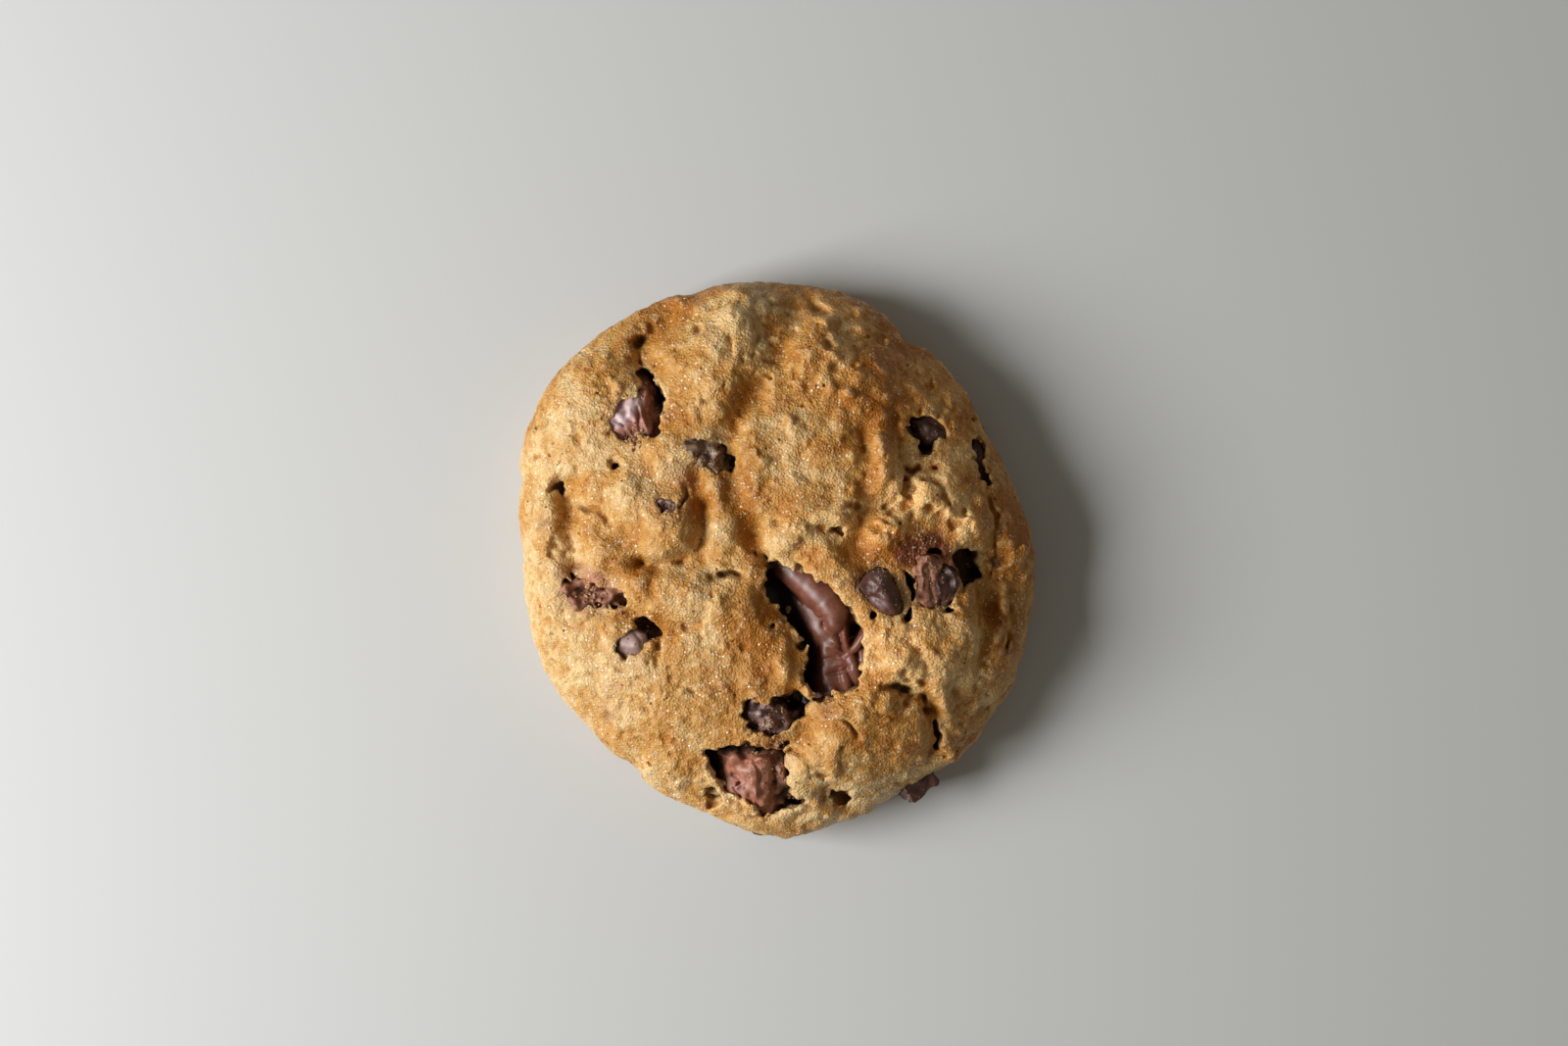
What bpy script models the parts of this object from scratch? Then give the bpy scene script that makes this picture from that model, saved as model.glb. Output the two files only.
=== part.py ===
"""A thick, domed chocolate chip cookie, lying on its flat underside.

The origin is the centre of the underside, +Z is up and +Y is the cookie's longer way.
The dough is one solid, and each piece of chocolate that shows is a solid of its own in a
socket of the dough, with a small gap round it.
Tables give millimetres, which are easier to read at this size, and MM turns them into metres.
"""
import math

import bmesh
import bpy
from mathutils import Matrix, Vector

MM = 0.001

# ---------------------------------------------------------------- driving dimensions
WIDTH = 84.2 * MM
LENGTH = 90.4 * MM
HEIGHT = 25.0 * MM

WAIST = 8.0         # height of the widest level, mm
CROWN = 23.3        # height of the smooth dome before its lumps, mm
FOOT_SHARE = 0.90   # radius of the flat underside as a share of the widest radius
DOME_FULLNESS = 2.3  # 2 is an ellipse in section, and more is flatter on top
DOME_SHOULDER = 1.9
LUMP_FULLNESS = 1.3  # 1 is a bell, and more is flatter on top and steeper at the sides
GAP = 0.3           # clearance between chocolate and dough, mm
PIT_TOP = 40.0      # how high the cutters of the pits reach, mm

# Where the icosphere's polar angle, as a share of half a turn, reaches the waist and the foot.
WAIST_TURN = 0.68
FOOT_TURN = 0.80
ICOSPHERE_LEVEL = 5

# Radius of the outline every 15 degrees from +X towards +Y, mm.
RIM_RADII = (42.0, 40.6, 39.8, 41.4, 42.6, 44.7, 45.2, 46.0, 46.6, 47.0, 46.2, 43.2,
             41.4, 41.5, 41.6, 41.0, 42.2, 42.6, 45.0, 43.8, 42.6, 43.4, 43.4, 42.2)

# Small steps of the outline where two lobes meet: (direction, half width, depth) in degrees and mm.
RIM_NOTCHES = ((59, 3.0, 1.2), (108, 3.0, 0.8), (-125, 3.5, 1.6), (-37, 4.0, 0.6))
NOTCH_REACH = 42.0  # how far out the notches have their full depth, mm; they fade towards the middle

# Lumps of the top: (x, y, long radius, short radius, turn in degrees, rise), mm.
LUMPS = (
    (-31.0, 25.5, 8.5, 6.0, 75, 1.9),
    (-9.6, 31.0, 12.0, 6.4, 76, 2.7),
    (-6.0, 39.0, 5.0, 4.0, 0, 1.3),
    (-17.4, 5.4, 5.6, 4.8, 20, 3.0),
    (-16.5, 16.5, 3.8, 3.4, 30, 1.7),
    (-23.6, 10.5, 3.8, 2.8, 80, 1.6),
    (-28.2, 1.0, 4.0, 3.2, 140, 2.2),
    (-15.0, -5.5, 8.5, 4.2, 175, 1.4),
    (-10.6, 6.5, 4.5, 2.3, 90, 1.6),
    (-10.0, 12.8, 3.0, 2.3, 20, 1.3),
    (8.4, 18.6, 16.0, 13.0, 106, 2.0),
    (-1.4, 17.0, 4.2, 2.6, 90, 0.9),
    (12.0, 31.5, 9.5, 6.5, 130, 1.3),
    (5.8, 35.6, 4.6, 3.6, 60, 1.1),
    (2.8, 6.0, 4.6, 2.6, 60, 1.7),
    (9.4, -2.2, 7.5, 2.2, -48, 1.6),
    (9.0, 7.2, 3.4, 3.0, 0, 1.2),
    (16.8, 15.2, 4.2, 3.4, 60, 1.7),
    (25.5, 11.5, 5.5, 3.6, 30, 1.6),
    (17.0, 4.0, 3.4, 2.4, 20, 1.8),
    (30.8, 6.0, 3.4, 3.0, 0, 1.5),
    (24.4, -13.2, 11.0, 6.6, 6, 2.6),
    (14.2, -27.0, 13.2, 8.4, 20, 3.0),
    (0.9, -16.8, 3.6, 1.7, 90, 1.5),
    (-20.0, -22.0, 12.0, 7.0, 160, 0.9),
    (-18.0, -34.0, 6.0, 3.2, 155, 1.0),
    (35.4, -13.0, 7.0, 2.2, 98, 0.5),
    (15.5, -22.6, 5.6, 2.8, 18, 1.4),
    (-37.0, 4.0, 14.0, 3.4, 90, 0.9),
)

# Valleys between the lumps: (half width, depth, points along the bottom), mm.
VALLEYS = (
    (2.8, 1.2, ((2.0, 43.5), (1.0, 38.0), (-1.6, 31.0), (-5.0, 25.5))),
    (2.8, 1.5, ((-5.0, 25.5), (-8.6, 19.6), (-8.2, 14.0), (-7.0, 7.0), (-3.4, 1.0))),
    (2.6, 2.0, ((-17.5, 39.8), (-20.0, 38.0), (-22.0, 35.5), (-22.2, 32.0), (-20.5, 30.5))),
    (2.8, 2.2, ((-33.4, 12.0), (-31.8, 8.0), (-31.8, 3.0), (-30.8, -2.0))),
    (2.6, 1.4, ((-13.8, 13.5), (-12.6, 10.2), (-11.4, 5.0), (-13.0, 0.8), (-17.5, -0.2), (-22.0, 0.2))),
    (2.6, 1.2, ((12.0, 18.5), (12.2, 13.0), (13.2, 9.5), (12.8, 6.0), (12.0, 2.5))),
    (2.6, 0.5, ((19.6, 22.0), (20.0, 17.0), (22.0, 14.6), (25.4, 14.8))),
    (2.6, 1.3, ((20.0, -19.8), (23.0, -21.5), (24.8, -25.0), (25.5, -30.0))),
    (2.8, 2.0, ((32.4, 2.0), (32.6, -6.0), (30.6, -11.0), (30.8, -15.0))),
    (2.6, 0.9, ((-24.0, -7.5), (-18.0, -10.5), (-13.0, -10.0))),
    (2.6, 1.4, ((8.2, -36.2), (11.5, -38.5))),
    (3.0, 2.2, ((-0.4, -6.6), (1.4, -10.5), (2.6, -14.0))),
    (3.0, 1.8, ((3.0, -22.5), (4.6, -26.5), (1.5, -29.0))),
)

# Chocolate that lies in an open pit: its outline seen from above, how deep its top lies under the
# dough there, its thickness, the fall of its top along x and y, and a crest (x, y, rise).
PITTED = {
    "chunk_centre": dict(
        outline=((0.0, -0.6), (4.5, -1.2), (8.5, -4.6), (13.8, -10.3), (13.6, -15.0), (14.2, -18.5),
                 (9.0, -21.8), (5.4, -20.8), (3.4, -17.4), (4.3, -13.6), (0.4, -9.6), (-1.7, -5.2)),
        sunk=3.4, thick=8.0, slope=(0.16, 0.0), crest=(8.6, -11.0, 0.9)),
    "chunk_bottom": dict(
        outline=((-11.8, -31.2), (-6.0, -30.3), (1.2, -30.6), (1.6, -36.0), (4.8, -39.0),
                 (0.0, -41.0), (-4.6, -39.8), (-8.6, -37.0), (-10.4, -34.0)),
        sunk=1.4, thick=8.0, slope=(0.0, 0.12), crest=(-4.0, -35.5, 1.4)),
    "chunk_upper_left": dict(
        outline=((-22.6, 31.0), (-19.2, 30.3), (-17.9, 25.5), (-18.6, 21.2), (-22.5, 19.2),
                 (-26.8, 21.6), (-23.4, 26.5)),
        sunk=1.8, thick=7.0, slope=(-0.10, -0.10), crest=(-21.8, 25.0, 1.1)),
    "chunk_left": dict(
        outline=((-32.0, -1.8), (-28.5, -2.8), (-24.2, -3.9), (-24.0, -5.6), (-28.0, -7.0),
                 (-31.2, -7.2), (-33.2, -4.4)),
        sunk=1.2, thick=6.0, slope=(0.0, 0.18), crest=(-29.0, -3.8, 0.8)),
    "chip_centre_low": dict(
        outline=((-5.6, -23.2), (-1.0, -22.6), (3.0, -22.8), (1.2, -26.0), (-2.0, -28.0), (-5.0, -26.4)),
        sunk=1.0, thick=5.0, slope=(0.0, 0.0), crest=(-1.8, -25.0, 1.2)),
    "chip_left_low": dict(
        outline=((-25.8, -13.4), (-24.2, -11.0), (-20.6, -9.7), (-18.0, -10.6), (-21.0, -13.6),
                 (-23.4, -14.6)),
        sunk=0.6, thick=5.0, slope=(-0.12, 0.12), crest=(-22.4, -12.2, 0.5)),
    "chip_top": dict(
        outline=((-13.3, 18.2), (-10.5, 18.9), (-7.3, 16.6), (-7.7, 14.4), (-10.1, 15.0)),
        sunk=0.3, thick=5.0, slope=(0.0, 0.10), crest=(-10.1, 16.8, 0.6)),
    "chip_nose": dict(
        outline=((-18.8, 9.4), (-17.0, 9.9), (-15.6, 8.8), (-16.0, 7.4), (-17.8, 7.2)),
        sunk=0.5, thick=4.0, slope=(0.0, 0.0), crest=(-17.2, 8.6, 0.3)),
    "chip_upper_right": dict(
        outline=((20.6, 23.0), (25.2, 23.0), (26.0, 19.4), (24.2, 17.2), (22.4, 18.6)),
        sunk=1.2, thick=5.0, slope=(0.0, 0.0), crest=(23.6, 20.6, 1.0)),
    "chip_right_rim": dict(
        outline=((31.4, 19.6), (32.8, 19.0), (34.2, 13.4), (33.4, 12.8), (31.2, 16.6)),
        sunk=1.2, thick=5.0, slope=(-0.3, 0.0), crest=(32.4, 16.4, 0.2)),
}

# Kiss-shaped chips that stand proud: base centre (x, y, height over the dough there), the way
# the tip points, base radius and height, mm.
PROUD_CHIPS = {
    "chip_kiss": dict(base=(17.4, -5.2, -1.6), tip=(-0.60, 0.20, 0.77), radius=3.9, height=6.0),
    "chip_right": dict(base=(28.3, -3.6, 1.0), tip=(0.10, 0.05, -1.0), radius=2.7, height=6.0),
}

# Broken slabs that stand proud: centre (x, y, height of its middle), size, and turns about
# x, y and z in degrees, mm.
PROUD_SLABS = {
    "chunk_right": dict(centre=(23.3, -3.2, 18.6), size=(2.6, 7.4, 7.0), turns=(4, -8, -4)),
    "chunk_rim": dict(centre=(22.0, -35.0, 8.0), size=(6.0, 6.4, 5.0), turns=(8, 12, 38)),
    "chunk_foot": dict(centre=(-2.0, -42.2, 3.6), size=(5.4, 5.6, 4.0), turns=(0, 6, 12)),
}
SLAB_BEVEL = 0.5

DOUGH = dict(color=(0.60, 0.33, 0.11, 1.0), roughness=0.72)
CHOCOLATE = dict(color=(0.085, 0.030, 0.020, 1.0), roughness=0.38)
MILK_CHOCOLATE = dict(color=(0.22, 0.075, 0.045, 1.0), roughness=0.45)
MILKY = ("chunk_bottom", "chunk_upper_left", "chunk_left", "chunk_right")


# ---------------------------------------------------------------- scene helpers
def clear_scene():
    for obj in list(bpy.data.objects):
        bpy.data.objects.remove(obj)


def new_collection(name):
    made = bpy.data.collections.new(name)
    bpy.context.scene.collection.children.link(made)
    return made


def material(name, color, roughness):
    made = bpy.data.materials.new(name)
    made.use_nodes = True
    shader = made.node_tree.nodes["Principled BSDF"]
    shader.inputs["Base Color"].default_value = color
    shader.inputs["Roughness"].default_value = roughness
    shader.inputs["Metallic"].default_value = 0.0
    return made


def object_of(name, mesh, collection, looks=None):
    made = bpy.data.objects.new(name, mesh)
    collection.objects.link(made)
    if looks is not None:
        mesh.materials.append(looks)
    return made


def as_cutter(obj):
    obj.hide_render = True
    obj.display_type = "WIRE"
    return obj


# ---------------------------------------------------------------- the dough's form
def rim_radius(angle, notched=1.0):
    """Radius of the outline in a direction: a smooth closed curve through RIM_RADII, less the notches."""
    count = len(RIM_RADII)
    place = angle / (2 * math.pi) * count
    first = math.floor(place)
    u = place - first
    p0, p1, p2, p3 = (RIM_RADII[(first + k) % count] for k in (-1, 0, 1, 2))
    radius = 0.5 * (2 * p1 + (p2 - p0) * u + (2 * p0 - 5 * p1 + 4 * p2 - p3) * u ** 2
                    + (3 * p1 - p0 - 3 * p2 + p3) * u ** 3)
    for direction, half_width, depth in RIM_NOTCHES:
        off = math.remainder(angle - math.radians(direction), 2 * math.pi)
        radius -= notched * depth * math.exp(-(math.degrees(off) / half_width) ** 2)
    return radius


def section(turn):
    """The half section: polar turn 0..1 to (share of the rim radius, height in mm)."""
    if turn < WAIST_TURN:
        a = turn / WAIST_TURN * math.pi / 2
        share = math.sin(a) ** (2 / DOME_FULLNESS)
        return share, WAIST + (CROWN - WAIST) * math.cos(a) ** (2 / DOME_SHOULDER)
    if turn < FOOT_TURN:
        a = (turn - WAIST_TURN) / (FOOT_TURN - WAIST_TURN) * math.pi / 2
        return 1 - (1 - FOOT_SHARE) * (1 - math.cos(a)), WAIST * (1 - math.sin(a))
    inward = (turn - FOOT_TURN) / (1 - FOOT_TURN)
    return FOOT_SHARE * (1 - inward), 0.0


def distance_to_path(x, y, path):
    """Shortest distance in plan from a point to a run of straight stretches."""
    here = Vector((x, y))
    best = math.inf
    for start, end in zip(path, path[1:]):
        start, end = Vector(start), Vector(end)
        along = end - start
        share = max(0.0, min(1.0, (here - start).dot(along) / along.length_squared))
        best = min(best, (here - start - share * along).length)
    return best


def relief(x, y):
    """How far the top stands over the smooth dome, in mm: lumps up and valleys down."""
    rise = 0.0
    for cx, cy, long_radius, short_radius, turn, height in LUMPS:
        a = math.radians(turn)
        along = (x - cx) * math.cos(a) + (y - cy) * math.sin(a)
        across = (y - cy) * math.cos(a) - (x - cx) * math.sin(a)
        away = (along / long_radius) ** 2 + (across / short_radius) ** 2
        rise += height * math.exp(-away ** LUMP_FULLNESS)
    for half_width, depth, path in VALLEYS:
        rise -= depth * math.exp(-(distance_to_path(x, y, path) / half_width) ** 2)
    return rise


def top_height(x, y):
    """Height of the top over a point of the plan, in mm."""
    out = math.hypot(x, y)
    share = min(0.999, out / rim_radius(math.atan2(y, x), min(1.0, out / NOTCH_REACH) ** 8))
    a = math.asin(share ** (DOME_FULLNESS / 2))
    return WAIST + (CROWN - WAIST) * math.cos(a) ** (2 / DOME_SHOULDER) + relief(x, y)


def make_dough(collection):
    """The dome: an icosphere whose points are moved onto the section, then out by the relief."""
    bm = bmesh.new()
    bmesh.ops.create_icosphere(bm, subdivisions=ICOSPHERE_LEVEL, radius=1.0)
    for vert in bm.verts:
        angle = math.atan2(vert.co.y, vert.co.x)
        turn = math.acos(max(-1.0, min(1.0, vert.co.z))) / math.pi
        share, height = section(turn)
        radius = share * rim_radius(angle, share ** 8)
        vert.co = (radius * math.cos(angle), radius * math.sin(angle), height)
    bm.normal_update()
    moves = []
    for vert in bm.verts:
        above_waist = max(0.0, vert.co.z - WAIST) / (CROWN - WAIST)
        fade = min(1.0, 2.0 * above_waist)
        moves.append(vert.normal * relief(vert.co.x, vert.co.y) * fade)
    for vert, move in zip(bm.verts, moves):
        vert.co += move
    fit_to_size(bm)
    mesh = bpy.data.meshes.new("dough")
    bm.to_mesh(mesh)
    bm.free()
    mesh.shade_smooth()
    return object_of("dough", mesh, collection, material("baked_dough", **DOUGH))


def fit_to_size(bm):
    """Scales and centres the dough, so that its box is exactly WIDTH, LENGTH and HEIGHT."""
    low = Vector([min(v.co[k] for v in bm.verts) for k in range(3)])
    high = Vector([max(v.co[k] for v in bm.verts) for k in range(3)])
    size = high - low
    middle = (low + high) / 2
    for vert in bm.verts:
        vert.co.x = (vert.co.x - middle.x) * WIDTH / size.x
        vert.co.y = (vert.co.y - middle.y) * LENGTH / size.y
        vert.co.z = (vert.co.z - low.z) * HEIGHT / size.z


# ---------------------------------------------------------------- the chocolate's forms
def grown(outline, by):
    """The outline with each point moved outwards by about this much, in mm."""
    points = [Vector(p) for p in outline]
    count = len(points)
    twice_area = sum(points[k - 1].cross(points[k]) for k in range(count))
    side = 1.0 if twice_area > 0 else -1.0
    moved = []
    for k, here in enumerate(points):
        before = (here - points[k - 1]).normalized()
        after = (points[(k + 1) % count] - here).normalized()
        along = (before + after).normalized()
        outward = Vector((along.y, -along.x)) * side
        moved.append(here + outward * by / max(0.5, along.dot(after)))
    return moved


def prism(name, outline, low, high, crest=None):
    """A closed block over an outline: the outline's face is pulled up, and high(x, y) is the height of
    the top over a point, in mm. A crest (x, y, rise) parts the top into facets that meet there."""
    bm = bmesh.new()
    base = bm.faces.new([bm.verts.new((x, y, low)) for x, y in outline])
    pulled = bmesh.ops.extrude_face_region(bm, geom=[base], use_keep_orig=True)["geom"]
    top = next(item for item in pulled if isinstance(item, bmesh.types.BMFace))
    for vert in top.verts:
        vert.co.z = high(vert.co.x, vert.co.y)
    if crest is not None:
        tip = bmesh.ops.poke(bm, faces=[top])["verts"][0]
        tip.co = (crest[0], crest[1], high(crest[0], crest[1]) + crest[2])
    bmesh.ops.recalc_face_normals(bm, faces=bm.faces)
    bmesh.ops.scale(bm, vec=(MM, MM, MM), verts=bm.verts)
    mesh = bpy.data.meshes.new(name)
    bm.to_mesh(mesh)
    bm.free()
    return mesh


def make_pitted(name, spec, parts, cutters, looks):
    """A piece of chocolate lying in an open pit, and the cutter of that pit."""
    cx, cy, rise = spec["crest"]
    middle = top_height(cx, cy) - spec["sunk"]
    fall_x, fall_y = spec["slope"]
    low = middle - spec["thick"]

    def top(x, y):
        return middle + fall_x * (x - cx) + fall_y * (y - cy)

    piece = prism(name, grown(spec["outline"], -GAP), low, top, crest=(cx, cy, rise))
    pit = prism(name + "_pit", spec["outline"], low - GAP, lambda x, y: PIT_TOP)
    object_of(name, piece, parts, looks)
    return as_cutter(object_of(name + "_pit", pit, cutters))


def chip_profile(radius, height, grow):
    """The outer side of a kiss-shaped chip from its tip down to the middle of its base, mm."""
    shape = ((0.16, 0.95), (0.30, 0.80), (0.52, 0.58), (0.80, 0.36), (1.0, 0.16), (0.90, 0.03))
    side = [(share * radius + grow, level * height) for share, level in shape]
    return [(0.0, height + grow), *side, (0.80 * radius, -grow), (0.0, -grow)]


def make_chip(name, spec, grow, collection, looks=None):
    """A turned chip: its profile round the z axis, then set down with its tip pointing the given way."""
    mesh = bpy.data.meshes.new(name)
    profile = chip_profile(spec["radius"], spec["height"], grow)
    points = [(x * MM, 0.0, z * MM) for x, z in profile]
    mesh.from_pydata(points, [(k, k + 1) for k in range(len(points) - 1)], [])
    chip = object_of(name, mesh, collection, looks)
    turned = chip.modifiers.new("turned", "SCREW")
    turned.steps = turned.render_steps = 14
    turned.use_merge_vertices = True
    turned.merge_threshold = 0.00001
    x, y, above = spec["base"]
    chip.location = Vector((x, y, top_height(x, y) + above)) * MM
    chip.rotation_euler = Vector(spec["tip"]).to_track_quat("Z", "Y").to_euler()
    return chip


def make_slab(name, spec, grow, collection, looks=None):
    """A broken slab: a box with bevelled edges, turned as it lies."""
    bm = bmesh.new()
    bmesh.ops.create_cube(bm, size=1.0)
    size = [(side + 2 * grow) * MM for side in spec["size"]]
    bmesh.ops.transform(bm, matrix=Matrix.Diagonal((*size, 1.0)), verts=bm.verts)
    mesh = bpy.data.meshes.new(name)
    bm.to_mesh(mesh)
    bm.free()
    slab = object_of(name, mesh, collection, looks)
    edges = slab.modifiers.new("edges", "BEVEL")
    edges.width = SLAB_BEVEL * MM
    edges.segments = 2
    slab.location = Vector(spec["centre"]) * MM
    slab.rotation_euler = [math.radians(turn) for turn in spec["turns"]]
    return slab


def cut(obj, cutter):
    socket = obj.modifiers.new(cutter.name, "BOOLEAN")
    socket.operation = "DIFFERENCE"
    socket.object = cutter


# ---------------------------------------------------------------- the cookie
def main():
    clear_scene()
    parts = new_collection("chocolate_chip_cookie")
    cutters = new_collection("cutters")
    dark = material("dark_chocolate", **CHOCOLATE)
    milk = material("milk_chocolate", **MILK_CHOCOLATE)
    dough = make_dough(parts)
    for name, spec in PITTED.items():
        cut(dough, make_pitted(name, spec, parts, cutters, milk if name in MILKY else dark))
    for table, make in ((PROUD_CHIPS, make_chip), (PROUD_SLABS, make_slab)):
        for name, spec in table.items():
            make(name, spec, 0.0, parts, milk if name in MILKY else dark)
            cut(dough, as_cutter(make(name + "_socket", spec, GAP, cutters)))


main()
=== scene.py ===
"""The looks of a chocolate chip cookie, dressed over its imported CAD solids.

The dough and each piece of chocolate are implicit fields on a grid, in millimetres: a field is
positive inside, and its size near the surface is about the distance to it. A surface net turns
each field into a closed mesh, which replaces the CAD node of that name.
"""
import math

import bmesh
import bpy
import numpy as np
from mathutils import Matrix, Vector
from mathutils.bvhtree import BVHTree


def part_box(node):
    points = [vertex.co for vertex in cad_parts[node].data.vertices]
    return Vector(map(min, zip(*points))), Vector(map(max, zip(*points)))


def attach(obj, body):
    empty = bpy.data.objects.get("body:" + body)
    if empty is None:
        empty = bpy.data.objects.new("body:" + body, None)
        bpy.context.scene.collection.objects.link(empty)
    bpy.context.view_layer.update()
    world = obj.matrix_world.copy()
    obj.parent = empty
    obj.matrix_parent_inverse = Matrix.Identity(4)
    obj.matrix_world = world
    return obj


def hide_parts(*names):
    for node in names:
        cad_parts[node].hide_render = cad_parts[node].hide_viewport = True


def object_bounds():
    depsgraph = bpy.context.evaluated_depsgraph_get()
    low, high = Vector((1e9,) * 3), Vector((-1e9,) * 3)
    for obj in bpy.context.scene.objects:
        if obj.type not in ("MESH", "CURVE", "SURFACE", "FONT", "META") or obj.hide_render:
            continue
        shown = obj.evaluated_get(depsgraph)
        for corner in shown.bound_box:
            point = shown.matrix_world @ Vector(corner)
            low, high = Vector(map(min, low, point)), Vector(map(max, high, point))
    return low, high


MM = 0.001
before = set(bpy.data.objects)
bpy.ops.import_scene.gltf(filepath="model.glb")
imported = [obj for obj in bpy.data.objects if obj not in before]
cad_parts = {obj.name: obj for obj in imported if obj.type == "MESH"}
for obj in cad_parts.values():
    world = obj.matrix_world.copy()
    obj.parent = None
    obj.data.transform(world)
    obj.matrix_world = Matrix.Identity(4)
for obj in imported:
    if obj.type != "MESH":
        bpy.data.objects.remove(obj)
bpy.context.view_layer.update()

# ---------------------------------------------------------------- the dough's main form, in mm
WAIST = 8.0
CROWN = 23.3
FOOT_SHARE = 0.90
DOME_FULLNESS = 2.3
DOME_SHOULDER = 1.9
RIM_RADII = (42.0, 40.6, 39.8, 41.4, 42.6, 44.7, 45.2, 46.0, 46.6, 47.0, 46.2, 43.2,
             41.4, 41.5, 41.6, 41.0, 42.2, 42.6, 45.0, 43.8, 42.6, 43.4, 43.4, 42.2)
RIM_NOTCHES = ((59, 3.0, 1.2), (108, 3.0, 0.8), (-125, 3.5, 1.6), (-37, 4.0, 0.6))

# Lumps: (x, y, long radius, short radius, turn in degrees, rise)
LUMPS = (
    (-31.0, 25.5, 8.5, 6.0, 75, 1.9),
    (-8.2, 31.0, 12.0, 7.2, 75, 2.5),
    (-6.0, 39.0, 5.0, 4.0, 0, 1.3),
    (-17.4, 5.4, 5.6, 4.8, 20, 3.0),
    (-16.5, 16.5, 3.8, 3.4, 30, 1.7),
    (-23.6, 10.5, 3.8, 2.8, 80, 1.6),
    (-28.2, 1.0, 4.0, 3.2, 140, 2.2),
    (-15.0, -5.5, 8.5, 4.2, 175, 1.4),
    (-8.8, 6.5, 4.5, 2.6, 90, 1.2),
    (-9.2, 12.8, 3.0, 2.3, 20, 0.9),
    (8.4, 18.6, 16.0, 13.0, 106, 2.0),
    (-2.8, 16.5, 4.2, 2.6, 90, 0.4),
    (12.0, 31.5, 9.5, 6.5, 130, 1.3),
    (5.8, 35.6, 4.6, 3.6, 60, 1.1),
    (2.8, 6.0, 4.6, 2.6, 60, 1.7),
    (9.4, -2.2, 7.5, 2.2, -48, 1.6),
    (9.0, 7.2, 3.4, 3.0, 0, 1.2),
    (16.8, 15.2, 4.2, 3.4, 60, 1.7),
    (25.5, 11.5, 5.5, 3.6, 30, 1.6),
    (17.0, 4.0, 3.4, 2.4, 20, 1.8),
    (30.8, 6.0, 3.4, 3.0, 0, 1.5),
    (24.4, -13.2, 11.0, 6.6, 6, 2.6),
    (14.2, -27.0, 13.2, 8.4, 20, 2.6),
    (0.9, -16.8, 3.6, 1.7, 90, 1.5),
    (-20.0, -22.0, 12.0, 7.0, 160, 0.9),
    (-18.0, -34.0, 6.0, 3.2, 155, 1.0),
    (35.4, -13.0, 7.0, 2.2, 98, 0.5),
    (15.5, -22.6, 5.6, 3.2, 18, 0.8),
    (-37.0, 4.0, 14.0, 3.4, 90, 0.9),
)

# Valleys: (half width, depth, points along the bottom)
VALLEYS = (
    (3.0, 1.1, ((3.2, 43.5), (2.8, 38.0), (0.2, 31.0), (-3.0, 25.5))),
    (2.3, 2.0, ((-3.4, 25.5), (-6.4, 20.5), (-7.0, 16.0))),
    (2.1, 0.9, ((-7.4, 14.0), (-5.0, 8.0), (-4.0, 4.0))),
    (1.9, 2.2, ((-3.0, 4.6), (-2.0, 2.2), (-0.9, 0.2))),
    (2.0, 2.8, ((-17.5, 39.8), (-19.6, 38.0), (-21.4, 35.5), (-21.2, 32.0), (-20.0, 30.5))),
    (2.2, 2.8, ((-33.4, 12.0), (-32.2, 8.0), (-31.9, 3.0), (-31.2, -1.2))),
    (1.6, 2.0, ((-11.6, 13.5), (-11.4, 10.2), (-11.4, 5.0), (-12.6, 0.8), (-17.5, -0.2), (-22.0, 0.2))),
    (2.0, 1.2, ((13.0, 18.5), (13.6, 13.0), (14.0, 9.5), (13.2, 6.0), (12.0, 2.5))),
    (1.2, 0.9, ((19.6, 22.0), (20.0, 17.0), (22.0, 14.6), (25.4, 14.8))),
    (1.3, 1.8, ((20.0, -19.8), (23.0, -21.5), (24.8, -25.0), (25.5, -30.0))),
    (2.4, 2.6, ((32.4, 2.0), (32.8, -7.0))),
    (1.7, 1.4, ((34.4, -2.0), (34.0, -6.0), (33.0, -11.0), (33.2, -15.0))),
    (2.0, 1.5, ((35.4, 4.0), (37.0, 0.0), (37.4, -4.0))),
    (1.6, 1.3, ((-24.0, -7.5), (-18.0, -10.5), (-13.0, -10.0))),
    (1.8, 2.0, ((8.2, -36.2), (11.5, -38.5))),
    (2.8, 2.5, ((-0.4, -6.6), (1.4, -10.5), (2.6, -14.0))),
    (2.6, 2.0, ((3.0, -22.5), (4.6, -26.5), (1.5, -29.0))),
)

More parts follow.
